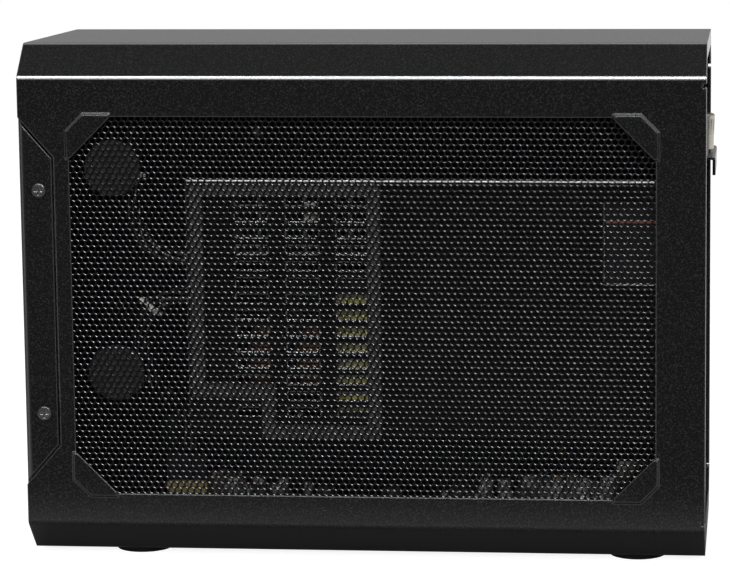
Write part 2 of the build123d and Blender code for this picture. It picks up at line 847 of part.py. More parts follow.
def psu_chokes():
    """Ring chokes standing on the board."""
    rings = []
    for step in range(choke_count):
        x = psu_x[0] + choke_from_front + step * choke_pitch
        centre = (psu_pcb_y[0] - choke_diameter / 2, psu_floor + choke_above_floor)
        ring = Pos(*centre) * (Circle(choke_diameter / 2) - Circle(choke_hole / 2))
        coil = prism("x", ring, (x, x + choke_width))
        rings.append(chamfer(coil.edges().filter_by(GeomType.CIRCLE), choke_bevel))
    return group(rings)


def psu_capacitors():
    """Electrolytic cans standing on the board."""
    cans = []
    for column in range(capacitor_columns):
        for row in range(capacitor_rows):
            x = psu_x[0] + capacitor_from_front + column * capacitor_pitch
            z = psu_floor + capacitor_above_floor + row * capacitor_pitch
            can = rod("y", (x, z), capacitor_diameter, (psu_pcb_y[0] - capacitor_height, psu_pcb_y[0]))
            rim = can.edges().filter_by(GeomType.CIRCLE).sort_by(Axis.Y)[0]
            cans.append(chamfer(rim, capacitor_bevel))
    return group(cans)


def psu_heatsink():
    """Aluminium plate with fins for the supply's switches, between the transformer and the roof."""
    x = psu_x[0] + cooler_from_front
    core_top = psu_floor + transformer_above_floor + transformer_height + core_thickness
    z = (core_top + cooler_gap, psu_roof - cooler_below_roof)
    y = (psu_pcb_y[0] - cooler_depth, psu_pcb_y[0])
    plate = block((x, x + cooler_length), y, (z[0], z[0] + cooler_plate))
    pitch = (cooler_length - cooler_fin) / (cooler_fins - 1)
    for step in range(cooler_fins):
        low = x + step * pitch
        plate += block((low, low + cooler_fin), y, (z[0] + cooler_plate, z[1]))
    return plate


def grommet_place():
    """Middle of the lead outlet in the supply's front wall."""
    return (psu_y[0] + psu_depth / 2, psu_z[0] + grommet_above_floor)


def grommet_hole():
    return Rot(0, 0, 90) * SlotOverall(grommet_height, grommet_width)


def lead_grommet():
    """Rubber outlet with a flange outside the supply's front wall."""
    y, z = grommet_place()
    plug = prism("x", Pos(y, z) * grommet_hole(), (psu_x[0], psu_x[0] + psu_sheet))
    rim = Rot(0, 0, 90) * SlotOverall(grommet_height + 2 * grommet_flange, grommet_width + 2 * grommet_flange)
    return plug + prism("x", Pos(y, z) * rim, (psu_x[0] - grommet_thickness, psu_x[0]))


def standoff_places():
    xs = (board_x[0] + standoff_inset, board_x[1] - standoff_rear_inset)
    return [(x, y) for x in xs for y in (standoff_floor_inset - floor_half, floor_half - standoff_floor_inset)]


def main_board():
    board = block(board_x, board_y, (board_low, board_top))
    for place in standoff_places():
        board -= rod("z", place, board_screw_hole, (board_low, board_top))
    return board


def board_standoffs():
    posts = []
    for place in standoff_places():
        post = rod("z", place, standoff_diameter, (tray_top, board_low))
        posts.append(post - rod("z", place, standoff_bore, (tray_top + tray_sheet, board_low)))
    return group(posts)


def board_screws():
    screws = []
    for place in standoff_places():
        head = rod("z", place, board_screw_head, (board_top, board_top + board_screw_rise))
        head = chamfer(head.edges().filter_by(GeomType.CIRCLE).sort_by(Axis.Z)[-1], board_screw_bevel)
        screws.append(head + rod("z", place, board_screw_shank, (tray_top + 2 * tray_sheet, board_top)))
    return group(screws)


def card_slot():
    """Edge connector for the card, with the key between its two channels."""
    x = (finger_x[0] - slot_end, finger_x[1] + slot_end)
    slot = block(x, around(card_mid_y, slot_width), (board_top, slot_top))
    rib = (key_x - key_width / 2 + slot_play, key_x + key_width / 2 - slot_play)
    channel_x = (finger_x[0] - slot_play, finger_x[1] + slot_play)
    channel_y = (card_y[0] - slot_play, card_y[1] + slot_play)
    channel = block(channel_x, channel_y, (finger_low, slot_top))
    return slot - (channel - block(rib, channel_y, (finger_low, finger_low + key_depth - slot_play)))


def heat_block_place():
    y = around(card_mid_y, slot_width)[0] - heat_block_from_slot
    x = board_x[1] - heat_block_from_rear
    return (x - heat_block_length, x), (y - heat_block_width, y)


def link_chip():
    """Controller chip that links the host's cable to the card."""
    x, y = heat_block_place()
    wide = around(sum(x) / 2, chip_length)
    deep = around(sum(y) / 2, chip_length)
    return block(wide, deep, (board_top, board_top + chip_height))


def link_heatsink():
    """Finned block on the controller chip."""
    x, y = heat_block_place()
    low = board_top + chip_height
    sink = block(x, y, (low, low + heat_block_base))
    pitch = (heat_block_width - heat_block_fin) / (heat_block_fins - 1)
    for step in range(heat_block_fins):
        fin = y[0] + step * pitch
        sink += block(x, (fin, fin + heat_block_fin), (low + heat_block_base, low + heat_block_height))
    return sink


def board_coils():
    """Moulded coils of the board's voltage converters, in a row along the near edge."""
    coils = []
    y = board_y[0] + coil_from_edge
    for step in range(coil_count):
        x = board_x[0] + coil_from_front + step * coil_pitch
        coil = block((x, x + coil_size), (y, y + coil_size), (board_top, board_top + coil_height))
        coils.append(chamfer(coil.edges().filter_by(Axis.Z), coil_corner))
    return group(coils)


def board_cans():
    """Solid capacitors beside the coils."""
    cans = []
    y = board_y[0] + coil_from_edge + coil_size / 2
    for step in range(can_count):
        x = board_x[0] + coil_from_front + coil_size / 2 + can_from_coil + step * coil_pitch
        can = rod("z", (x, y), can_diameter, (board_top, board_top + can_height))
        cans.append(chamfer(can.edges().filter_by(GeomType.CIRCLE).sort_by(Axis.Z)[-1], can_bevel))
    return group(cans)


def power_block_place():
    x = board_x[0] + inlet_block_from_front
    y = board_y[0] + inlet_block_from_edge
    return (x, x + inlet_block_length), (y, y + inlet_block_width)


def open_box(x, y, z, wall):
    """Socket housing, open at the top."""
    inner = block(widened(x, -wall), widened(y, -wall), (z[0] + wall, z[1]))
    return block(x, y, z) - inner


def board_power_socket():
    x, y = power_block_place()
    return open_box(x, y, (board_top, board_top + inlet_block_height), plug_block_wall)


def board_power_plug():
    """Plug in the board's power socket, with the lead leaving at its top."""
    x, y = power_block_place()
    gap = plug_block_wall + slide_gap
    low = board_top + plug_block_wall
    rim = board_top + inlet_block_height
    inside = block(widened(x, -gap), widened(y, -gap), (low, rim))
    return inside + block(x, y, (rim, rim + plug_block_height))


def host_place():
    """Low and high places across the rear panel of the host cable's socket, beside the stacked ones."""
    y = usb_places()[0][0][0] - usb_from_host
    return (y - host_width, y), (board_top, board_top + host_height)


def usb_places():
    """Stacked sockets side by side, up to the card's back."""
    low = card_y[0] - usb_from_card - usb_count * usb_width - (usb_count - 1) * usb_gap
    places = []
    for step in range(usb_count):
        y = low + step * (usb_width + usb_gap)
        places.append(((y, y + usb_width), (board_top, board_top + usb_height)))
    return places


def host_port():
    """Oval host socket with a tongue in its middle."""
    y, z = host_place()
    mouth = panel_out_x + port_proud
    shell = rect(y, z)
    shell = fillet(shell.vertices(), host_round)
    hole = rect(widened(y, -port_wall), widened(z, -port_wall))
    hole = fillet(hole.vertices(), host_round - port_wall)
    body = prism("x", shell, (mouth - host_depth, mouth))
    body -= prism("x", hole, (mouth - host_depth + port_wall, mouth))
    middle = sum(z) / 2
    wide = (y[0] + host_height / 2, y[1] - host_height / 2)
    deep = (mouth - host_depth + port_wall, mouth - port_wall)
    return body + block(deep, wide, around(middle, host_tongue))


def usb_mouths(y, z):
    """Openings of a stacked socket, one above the other."""
    wide = widened(y, -usb_mouth_side)
    lows = [z[0] + usb_mouth_low + step * usb_mouth_pitch for step in range(usb_mouth_count)]
    return [(wide, (low, low + usb_mouth_height)) for low in lows]


def usb_stack(y, z):
    """Metal shell of a stacked socket."""
    mouth = panel_out_x + port_proud
    shell = block((mouth - usb_depth, mouth), y, z)
    for wide, high in usb_mouths(y, z):
        shell -= block((mouth - usb_depth + usb_tongue_back, mouth), wide, high)
    return shell


def usb_tongues(y, z):
    """Contact tongues near the top of the openings."""
    mouth = panel_out_x + port_proud
    tongues = []
    for wide, high in usb_mouths(y, z):
        across = (wide[0] + usb_tongue_inset, wide[1] - usb_tongue_inset)
        top = high[1] - usb_tongue_inset
        depth = (mouth - usb_depth + usb_tongue_back, mouth - usb_tongue_back)
        tongues.append(block(depth, across, (top - usb_tongue, top)))
    return group(tongues)


def card_board():
    """Card's board with its keyed contact edge."""
    edge = rect(card_x, (slot_top, card_top))
    edge += rect(finger_x, (finger_low, slot_top))
    edge -= rect(around(key_x, key_width), (finger_low, finger_low + key_depth))
    return prism("y", edge, card_y)


def gpu_package():
    x, z = fan_centre
    return block(around(x, gpu_size), (card_y[1], card_y[1] + gpu_height), around(z, gpu_size))


def card_heatsink():
    """Cold plate on the processor with a row of thin fins that carry the fan."""
    low = card_y[1] + gpu_height
    room = shroud_wall + fin_gap
    z = widened(cooler_z, -room)
    count = int((cooler_x[1] - cooler_x[0] - 2 * room - fin_sheet) / fin_pitch) + 1
    x = around(fan_centre[0], (count - 1) * fin_pitch + fin_sheet)
    sink = block(x, (low, low + cold_plate), z)
    fins = []
    for step in range(count):
        fin = x[0] + step * fin_pitch
        fins.append(block((fin, fin + fin_sheet), (low + cold_plate, fin_tip_y), z))
    inside = chamfered_rect(widened(cooler_x, -room), z, shroud_corner - room * (2 - math.sqrt(2)))
    return (sink + fins) & prism("y", inside, (low, fin_tip_y))


def card_shroud():
    """Moulded cover over fins and fan, with a round opening and a skirt."""
    face = chamfered_rect(cooler_x, cooler_z, shroud_corner)
    inner_corner = shroud_corner - shroud_wall * (2 - math.sqrt(2))
    inner = chamfered_rect(widened(cooler_x, -shroud_wall), widened(cooler_z, -shroud_wall), inner_corner)
    hole = Pos(*fan_centre) * Circle(card_fan_bore / 2)
    cover = prism("y", face - hole, (card_front_y - shroud_wall, card_front_y))
    cover += prism("y", face - inner, (fin_tip_y - shroud_skirt, card_front_y - shroud_wall))
    rim = cover.faces().sort_by(Axis.Y)[-1].outer_wire().edges()
    return chamfer(rim, shroud_edge)


def card_fan_frame():
    """Ring under the shroud with spokes, the motor's base and the shaft."""
    y = (fin_tip_y, card_front_y - shroud_wall)
    ring = Circle(card_fan_bore / 2 + card_fan_ring) - Circle(card_fan_bore / 2)
    frame = prism("y", Pos(*fan_centre) * ring, y)
    base = Circle(card_fan_hub / 2)
    reach = card_fan_bore / 2 + card_fan_ring / 2
    for step in range(card_fan_spokes):
        turn = 30 + 360 * step / card_fan_spokes
        base += Rot(0, 0, turn) * (Pos(reach / 2, 0) * Rectangle(reach, card_fan_spoke))
    frame += prism("y", Pos(*fan_centre) * base, (y[0], y[0] + card_fan_base))
    shaft = (y[0] + card_fan_base, y[1] - 2 * fan_end_play - card_fan_base)
    return frame + rod("y", fan_centre, fan_shaft, shaft)


def card_fan_rotor():
    low = fin_tip_y + card_fan_base + fan_end_play
    high = card_front_y - fan_end_play
    tip = card_fan_bore - 2 * card_fan_tip_gap
    rotor = fan_rotor(card_fan_hub, card_fan_hub_round, tip, high - low,
                      card_fan_blades, card_fan_blade, card_fan_pitches, card_fan_margins)
    x, z = fan_centre
    return Plane((x, low, z), x_dir=(1, 0, 0), z_dir=(0, 1, 0)) * rotor


def video_places():
    y = card_y[1] + video_port_from_board
    places = []
    for step in range(video_port_count):
        z = shelf_top - video_port_below_shelf - step * video_port_pitch
        places.append(((y, y + video_port_width), around(z, video_port_height)))
    return places


def video_port(y, z):
    """Upright video socket on the card's board: metal shell, open mouth and a contact tongue."""
    x = video_port_x
    mouth = x[1]
    shell = block(x, y, z)
    inner_y = widened(y, -port_wall)
    inner_z = widened(z, -port_wall)
    shell -= block((x[0] + port_wall, mouth), inner_y, inner_z)
    tongue_z = (inner_z[0] + video_tongue_inset, inner_z[1] - video_tongue_inset)
    shell += block((x[0] + port_wall, mouth - video_tongue_inset), around(sum(y) / 2, video_tongue), tongue_z)
    seat_x = (x[0], bracket_x[0] - port_clearance)
    return shell + block(seat_x, (card_y[1], y[0]), inner_z)


def card_bracket():
    """Two-slot bracket with its ear folded back over the shelf, port cut-outs and an exhaust."""
    face = rect(bracket_y, (bracket_z[0], shelf_top + bracket_sheet))
    for y, z in video_places():
        face -= rect(widened(y, port_clearance), widened(z, port_clearance))
    high_y = bracket_y[1] - 2 * bracket_edge
    for step in range(exhaust_count):
        z = shelf_top - video_port_below_shelf - step * exhaust_pitch
        face -= rect((high_y - exhaust_width, high_y), around(z, exhaust_height))
    bracket = prism("x", face, bracket_x)
    ear = block((bracket_x[0], bracket_x[0] + ear_length), bracket_y, (shelf_top, shelf_top + bracket_sheet))
    bracket += ear - rod("z", (thumb_x, thumb_y), thumb_shank + 4 * thumb_play, (shelf_top, bracket_z[1]))
    tab_x = (bracket_x[0] - bracket_tab_length, bracket_x[0])
    tab_z = (card_top - bracket_tab_drop - bracket_tab_height, card_top - bracket_tab_drop)
    return bracket + block(tab_x, (card_y[0] - bracket_sheet, card_y[0]), tab_z)


def bracket_thumbscrew():
    """Fluted thumbscrew, upright on the bracket's ear, with its shank through the shelf."""
    seat = bracket_z[1]
    low = Circle(thumb_head / 2 - thumb_taper)
    head = loft([low, Pos(0, 0, thumb_height) * Circle(thumb_head / 2)])
    head = chamfer(head.edges().filter_by(GeomType.CIRCLE).sort_by(Axis.Z)[-1], thumb_groove)
    flutes = []
    for step in range(thumb_flutes):
        turn = 360 * step / thumb_flutes
        flute = Pos(thumb_head / 2, 0, thumb_height / 2) * Box(thumb_groove, thumb_groove, thumb_flute_length)
        flutes.append(Rot(0, 0, turn) * flute)
    screw = Pos(thumb_x, thumb_y, seat) * (head - flutes)
    return screw + rod("z", (thumb_x, thumb_y), thumb_shank, (seat - thumb_reach, seat))


def card_socket_place():
    y = card_y[1]
    return card_socket_x, (y, y + card_socket_width), (card_top - card_socket_height, card_top)


def card_power_socket():
    """Power socket on the card's upper edge, open upwards."""
    return open_box(*card_socket_place(), plug_block_wall)


def card_power_plug():
    x, y, z = card_socket_place()
    gap = plug_block_wall + slide_gap
    low = z[0] + plug_block_wall
    inside = block(widened(x, -gap), widened(y, -gap), (low, z[1]))
    return inside + block(x, y, (z[1], z[1] + card_plug_height))


def lead(points):
    """Round lead along straight runs joined by arcs as large as the runs allow."""
    places = [Vector(*point) for point in points]
    radii = []
    for before, here, after in zip(places, places[1:], places[2:]):
        turn = math.radians((here - before).get_angle(after - here))
        shorter = min((here - before).length, (after - here).length)
        radii.append(lead_arc_share * shorter / math.tan(turn / 2))
    print("lead radii", [round(radius, 1) for radius in radii])
    path = FilletPolyline(*places, radius=radii)
    return sweep((path ^ 0) * Circle(lead_diameter / 2), path=path)


def card_power_lead():
    """From the supply's outlet up over the card to its power socket."""
    y, z = grommet_place()
    start = psu_x[0] - grommet_thickness
    end_x, end_y, end_z = card_socket_place()
    top = (sum(end_x) / 2, sum(end_y) / 2, end_z[1] + card_plug_height)
    z += lead_spacing / 2
    bend = lead_bend
    room = sleeve_high - sheet - top[2]
    shoulder = top[2] + lead_shoulder_share * room
    peak = top[2] + lead_peak_share * room
    return lead([
        (start, y, z), (start - 1.1 * bend, y, z), (start - 1.9 * bend, y + 0.2 * bend, z + 0.9 * bend),
        (start - 2.05 * bend, y + 0.7 * bend, z + 2.4 * bend),
        (top[0] - 1.46 * bend, top[1] - 1.76 * bend, shoulder),
        (top[0] - 0.73 * bend, top[1] - 0.88 * bend, peak), (top[0], top[1], shoulder), top,
    ])


def board_power_lead():
    """From the supply's outlet down to the main board's power socket."""
    y, z = grommet_place()
    start = psu_x[0] - grommet_thickness
    end_x, end_y = power_block_place()
    top = (sum(end_x) / 2, sum(end_y) / 2, board_top + inlet_block_height + plug_block_height)
    z -= lead_spacing / 2
    bend = lead_bend
    return lead([
        (start, y, z), (start - bend, y, z), (start - 1.7 * bend, y - 0.1 * bend, z - 0.8 * bend),
        (start - 1.7 * bend, y - 0.15 * bend, z - 2.1 * bend),
        (top[0] - 0.9 * bend, top[1] - 0.35 * bend, top[2] + 2.1 * bend),
        (top[0], top[1], top[2] + 1.25 * bend), top,
    ])


parts["outer_sleeve"] = outer_sleeve()
parts["power_side_grille"] = side_grille(-1)
parts["card_side_grille"] = side_grille(1)
for level, share in (("lower", bumper_low_share), ("upper", bumper_high_share)):
    parts[f"grille_bumper_{level}"] = bumper(window_z[0] + share * (window_z[1] - window_z[0]))
parts["front_panel"] = front_panel()
parts["case_screws"] = case_screws()
for end, foot_x in (("front", front_x + foot_front_inset), ("rear", sleeve_rear_x - foot_rear_inset)):
    for flank, foot_y in (("near", foot_side_inset - side_y), ("far", side_y - foot_side_inset)):
        parts[f"foot_{end}_{flank}"] = foot(foot_x, foot_y)
parts["base_tray"] = base_tray()
parts["rear_panel"] = rear_panel()
parts["mid_plate"] = mid_plate()
parts["psu_case"] = psu_case()
parts["psu_cover"] = psu_cover()
parts["psu_vent_gasket"] = vent_gasket()
parts["psu_screws"] = psu_screws()
parts["psu_board"] = psu_board()
parts["psu_fan_frame"] = psu_fan_frame()
parts["psu_fan_rotor"] = psu_fan_rotor()
parts["transformer_winding"] = transformer_winding()
parts["transformer_core"] = transformer_core()
parts["psu_chokes"] = psu_chokes()
parts["psu_capacitors"] = psu_capacitors()
parts["psu_heatsink"] = psu_heatsink()
parts["lead_grommet"] = lead_grommet()
parts["mains_inlet"] = inlet()
parts["mains_pins"] = inlet_pins()
parts["main_board"] = main_board()
parts["board_standoffs"] = board_standoffs()
parts["board_screws"] = board_screws()
parts["card_slot"] = card_slot()
parts["link_chip"] = link_chip()
parts["link_heatsink"] = link_heatsink()
parts["board_coils"] = board_coils()
parts["board_cans"] = board_cans()
parts["board_power_socket"] = board_power_socket()
parts["board_power_plug"] = board_power_plug()
parts["board_power_lead"] = board_power_lead()
parts["host_port"] = host_port()
for number, place in enumerate(usb_places(), 1):
    parts[f"usb_stack_{number}"] = usb_stack(*place)
    parts[f"usb_tongues_{number}"] = usb_tongues(*place)
parts["card_board"] = card_board()
parts["card_bracket"] = card_bracket()
parts["gpu_package"] = gpu_package()
parts["card_heatsink"] = card_heatsink()
parts["card_shroud"] = card_shroud()
parts["card_fan_frame"] = card_fan_frame()
parts["card_fan_rotor"] = card_fan_rotor()
for number, place in enumerate(video_places(), 1):
    parts[f"video_port_{number}"] = video_port(*place)
parts["card_power_socket"] = card_power_socket()
parts["card_power_plug"] = card_power_plug()
parts["card_power_lead"] = card_power_lead()
parts["bracket_thumbscrew"] = bracket_thumbscrew()

os.makedirs("parts", exist_ok=True)
for name, solid in parts.items():
    export_step(solid, f"parts/{name}.step")
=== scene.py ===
import math

import bpy
import numpy as np
from mathutils import Matrix, Vector


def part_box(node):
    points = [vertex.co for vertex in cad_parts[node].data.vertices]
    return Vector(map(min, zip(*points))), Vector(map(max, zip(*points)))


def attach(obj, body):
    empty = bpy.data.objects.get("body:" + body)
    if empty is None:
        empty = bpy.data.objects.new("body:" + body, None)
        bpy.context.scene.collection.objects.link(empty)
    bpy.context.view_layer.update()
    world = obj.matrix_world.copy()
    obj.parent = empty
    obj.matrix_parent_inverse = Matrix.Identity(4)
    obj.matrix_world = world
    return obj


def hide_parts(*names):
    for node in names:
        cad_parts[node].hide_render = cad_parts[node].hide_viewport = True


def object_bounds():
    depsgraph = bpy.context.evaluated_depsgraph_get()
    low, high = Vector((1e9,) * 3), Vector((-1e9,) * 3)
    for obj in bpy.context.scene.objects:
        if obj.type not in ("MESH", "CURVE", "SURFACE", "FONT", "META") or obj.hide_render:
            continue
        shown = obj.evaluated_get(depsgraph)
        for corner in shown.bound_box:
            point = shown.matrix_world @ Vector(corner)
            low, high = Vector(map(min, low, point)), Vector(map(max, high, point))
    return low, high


mm = 0.001  # the frame is in metres, sizes below are in millimetres

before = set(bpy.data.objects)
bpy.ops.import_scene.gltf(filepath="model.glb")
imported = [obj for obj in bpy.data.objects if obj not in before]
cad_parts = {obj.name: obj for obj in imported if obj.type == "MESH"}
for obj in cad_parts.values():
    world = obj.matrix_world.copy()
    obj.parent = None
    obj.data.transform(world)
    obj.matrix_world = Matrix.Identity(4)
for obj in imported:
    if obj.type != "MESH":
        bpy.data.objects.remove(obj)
cadLow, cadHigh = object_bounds()
print("frame loaded:", len(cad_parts), "nodes")


def linear(hexColour):  # sRGB hex to the linear values that sockets take
    channels = np.array([int(hexColour[i:i + 2], 16) for i in (1, 3, 5)]) / 255
    bent = np.where(channels <= 0.04045, channels / 12.92, ((channels + 0.055) / 1.055) ** 2.4)
    return (*bent.tolist(), 1.0)


def joinSockets(tree, node, links):  # links that come into a node, by the names of its sockets
    for name, socket in links.items():
        tree.links.new(socket, node.inputs[name])


def addNode(tree, kind, settings, links):  # one node, its settings and the links into it, gives its outputs
    node = tree.nodes.new(kind)
    for name, value in settings.items():
        if isinstance(name, str) and hasattr(node, name):
            setattr(node, name, value)
        else:
            node.inputs[name].default_value = value
    joinSockets(tree, node, links)
    return node.outputs


def startFinish(name, sockets):  # a material with its shader set, and Object coordinates for its patterns
    material = bpy.data.materials.new(name)
    material.use_nodes = True
    tree = material.node_tree
    shader = tree.nodes["Principled BSDF"]
    for socket, value in sockets.items():
        shader.inputs[socket].default_value = value
    place = addNode(tree, "ShaderNodeTexCoord", {}, {})["Object"]
    return material, tree, shader, place


def endFinish(tree, shader, first, second, share, relief, bumpLinks):
    # Two colours mixed by a pattern, and a relief: its strength, and its depth in millimetres.
    mixed = addNode(tree, "ShaderNodeMix", {"data_type": "RGBA", 6: linear(first), 7: linear(second)},
                    {0: share})
    bump = addNode(tree, "ShaderNodeBump", {"Strength": relief[0], "Distance": relief[1] * mm}, bumpLinks)
    joinSockets(tree, shader, {"Base Color": mixed[2], "Normal": bump["Normal"]})
    return mixed[2]


def perMm(size):  # texture scale that gives features of this size in millimetres
    return 1 / (size * mm)


edgeSamples = 6  # rays by which a finish finds a rounded edge

# Powder-coated steel: melted powder sets as a fine grain, so the black breaks into sparkle where light
# grazes it. The grain is drawn a few times coarser than the real one, so that it shows. The coat also rounds
# every edge, which then carries a thin bright line. The pierced sheet has a thinner, darker coat, and its
# rolled lips are polished by the tool. Along edges the colour turns to pale metal, partly wear and partly a
# painted highlight. On upward-facing folds a pale metal stripe is a painted highlight. Both are stronger,
# nearly white, on the supply's satin enamel.
powderLook = {"colour": "#070708", "fleck": "#29292a", "grain": 0.38, "relief": 0.036, "roughness": 0.19,
              "edge": 0.8, "gloss": 0.3, "wearAndHighlight": "#a0a0a2", "edgeWearAndHighlightShare": 0.22, "foldHighlightShare": 1.0}
meshLook = {"colour": "#050505", "fleck": "#0c0c0c", "grain": 0.5, "relief": 0.01, "roughness": 0.19,
            "edge": 0.05, "gloss": 0.3}
# The supply's enamel turns near white on its edges and upper folds. This is a painted highlight, partly wear
# on the edges.
enamelLook = {"colour": "#050506", "fleck": "#0c0c0d", "grain": 1.4, "relief": 0.015, "roughness": 0.2,
              "edge": 0.9, "gloss": 0.3, "wearAndHighlight": "#ffffff", "edgeWearAndHighlightShare": 0.9, "foldHighlightShare": 1.0}
lipLook = {"colour": "#666668", "fleck": "#707072", "grain": 0.5, "relief": 0.01, "roughness": 0.19,
           "edge": 0.05, "gloss": 0.5, "metallic": 1.0}
plateLook = {"colour": "#040404", "fleck": "#090909", "grain": 0.5, "relief": 0.01, "roughness": 0.5,
             "edge": 0.3, "gloss": 0.12}
coating = {"fleck": (0.5, 0.72), "strength": 0.7, "edgeLean": (0.8, 0.98), "foldWave": (-1.0, 0.6),
           "foldsPerTurn": 8}


def wearAndPaintedHighlightShare(tree, look, rounded):
    # Share of pale metal painted in. Where the rounded normal leaves the flat one it is partly edge wear and
    # partly a painted highlight. Midway through a fold of 45 degrees it is a painted highlight. cos(8 angle)
    # is 1 on flats and -1 midway. Folds count by the square of the normal's y, and only those that face up.
    flat = addNode(tree, "ShaderNodeNewGeometry", {}, {})["Normal"]
    lean = addNode(tree, "ShaderNodeVectorMath", {"operation": "DOT_PRODUCT"}, {0: rounded, 1: flat})
    low, high = coating["edgeLean"]
    bare = addNode(tree, "ShaderNodeMapRange", {
        "From Min": low, "From Max": high, "To Min": look["edgeWearAndHighlightShare"], "To Max": 0.0},
        {"Value": lean["Value"]})
    axes = addNode(tree, "ShaderNodeSeparateXYZ", {}, {"Vector": flat})
    lift = addNode(tree, "ShaderNodeMath", {"operation": "ARCTAN2"}, {0: axes["Z"], 1: axes["Y"]})
    eighths = addNode(tree, "ShaderNodeMath", {"operation": "MULTIPLY", 1: coating["foldsPerTurn"]},
                      {0: lift[0]})
    level = addNode(tree, "ShaderNodeMath", {"operation": "COSINE"}, {0: eighths[0]})
    low, high = coating["foldWave"]
    fold = addNode(tree, "ShaderNodeMapRange", {
        "From Min": low, "From Max": high, "To Min": look["foldHighlightShare"], "To Max": 0.0}, {"Value": level[0]})
    upright = addNode(tree, "ShaderNodeMath", {"operation": "MULTIPLY"}, {0: axes["Y"], 1: axes["Y"]})
    rising = addNode(tree, "ShaderNodeMath", {"operation": "GREATER_THAN", 1: 0.0}, {0: axes["Z"]})
    upper = addNode(tree, "ShaderNodeMath", {"operation": "MULTIPLY"}, {0: upright[0], 1: rising[0]})
    paintedFoldHighlight = addNode(tree, "ShaderNodeMath", {"operation": "MULTIPLY"}, {0: fold["Result"], 1: upper[0]})
    wearAndHighlight = addNode(tree, "ShaderNodeMath", {"operation": "MAXIMUM"}, {0: bare["Result"], 1: paintedFoldHighlight[0]})
    return wearAndHighlight[0]


def powderCoat(name, look):
    material, tree, shader, place = startFinish(name, {
        "Roughness": look["roughness"], "Specular IOR Level": look["gloss"],
        "Metallic": look.get("metallic", 0.0)})
    scale = perMm(look["grain"])
    grain = addNode(tree, "ShaderNodeTexNoise", {"Scale": scale, "Detail": 2.0}, {"Vector": place})["Fac"]
    low, high = coating["fleck"]
    share = addNode(tree, "ShaderNodeMapRange", {"From Min": low, "From Max": high},
                    {"Value": grain})["Result"]
    edge = addNode(tree, "ShaderNodeBevel", {"samples": edgeSamples, "Radius": look["edge"] * mm},
                   {})["Normal"]
    surface = endFinish(tree, shader, look["colour"], look["fleck"], share,
                        (coating["strength"], look["relief"]), {"Height": grain, "Normal": edge})
    # Pale metal mixed in on edges and upper folds: partly wear on the edges, a painted highlight on the
    # folds.
    if "wearAndHighlight" in look:
        wearAndHighlight = wearAndPaintedHighlightShare(tree, look, edge)
        wearAndHighlightColour = addNode(tree, "ShaderNodeMix", {"data_type": "RGBA", 7: linear(look["wearAndHighlight"])},
                         {0: wearAndHighlight, 6: surface})
        joinSockets(tree, shader, {"Base Color": wearAndHighlightColour[2], "Metallic": wearAndHighlight})
    return material


# Open-cell foam: dark pores between paler cell walls.
gasketLook = {"wall": "#434342", "pore": "#20201f"}
bumperLook = {"wall": "#2d2d2d", "pore": "#151515"}
foamCells = {"size": 0.9, "wall": (0.1, 0.6), "relief": (0.7, 0.2), "roughness": 0.95, "gloss": 0.1}


def openFoam(name, look):
    material, tree, shader, place = startFinish(name, {
        "Roughness": foamCells["roughness"], "Specular IOR Level": foamCells["gloss"]})
    cells = addNode(tree, "ShaderNodeTexVoronoi", {"Scale": perMm(foamCells["size"])}, {"Vector": place})
    low, high = foamCells["wall"]
    share = addNode(tree, "ShaderNodeMapRange", {"From Min": low, "From Max": high},
                    {"Value": cells["Distance"]})["Result"]
    endFinish(tree, shader, look["pore"], look["wall"], share, foamCells["relief"], {"Height": share})
    return material


# Metals: a drawn or plated surface has fine lines one way, which shift the roughness and the normal a
# little. They are drawn coarser than the real ones, so that they show. Tumbled edges are round and catch the
# light.
nickelLook = {"colour": "#c6c1b6", "dull": "#8d8982", "lines": (0.4, 0.4, 3.0), "roughness": (0.16, 0.34),
              "edge": 0.1, "metallic": 1.0}
tinLook = {"colour": "#d6d6d4", "dull": "#b4b4b0", "lines": (0.4, 0.4, 0.4), "roughness": (0.2, 0.35),
           "edge": 0.1, "metallic": 0.7}
zincLook = {"colour": "#a7aaad", "dull": "#7d8084", "lines": (0.3, 0.3, 8.0), "roughness": (0.3, 0.48),
            "edge": 0.2, "metallic": 1.0}
millLook = {"colour": "#c3c5c7", "dull": "#9a9c9f", "lines": (6.0, 0.25, 0.25), "roughness": (0.28, 0.45),
            "edge": 0.2, "metallic": 1.0}
anodisedLook = {"colour": "#3c3d3f", "dull": "#2b2c2e", "lines": (6.0, 0.25, 0.25), "roughness": (0.35, 0.5),
                "edge": 0.2, "metallic": 1.0}
oxideLook = {"colour": "#808082", "dull": "#545457", "lines": (0.5, 0.5, 0.5), "roughness": (0.2, 0.35),
             "edge": 0.3, "metallic": 1.0}
drawnRelief = (0.15, 0.02)  # strength, and depth in millimetres, as in the other reliefs


def drawnMetal(name, look):
    material, tree, shader, place = startFinish(name, {"Metallic": look["metallic"]})
    scale = tuple(perMm(size) for size in look["lines"])
    along = addNode(tree, "ShaderNodeMapping", {"Scale": scale}, {"Vector": place})["Vector"]
    lines = addNode(tree, "ShaderNodeTexNoise", {"Scale": 1.0, "Detail": 3.0}, {"Vector": along})["Fac"]
    low, high = look["roughness"]
    rough = addNode(tree, "ShaderNodeMapRange", {"To Min": low, "To Max": high}, {"Value": lines})
    edge = addNode(tree, "ShaderNodeBevel", {"samples": edgeSamples, "Radius": look["edge"] * mm},
                   {})["Normal"]
    endFinish(tree, shader, look["dull"], look["colour"], lines, drawnRelief,
              {"Height": lines, "Normal": edge})
    joinSockets(tree, shader, {"Roughness": rough["Result"]})
    return material


# Solder mask over copper: tracks show as paler lines under the lacquer, with small round plated holes. The
# tracks are drawn wider than the real ones, so that they show. Their rows are a quarter of a block apart.
maskLook = {"colour": "#0d1411", "track": "#1b2a23", "plated": "#9c8a55", "block": 6.4, "trackShare": 0.06,
            "holeSpacing": 5.0, "holeShare": 0.1, "strength": 0.4, "relief": 0.04, "roughness": 0.3,
            "lacquer": 0.3}


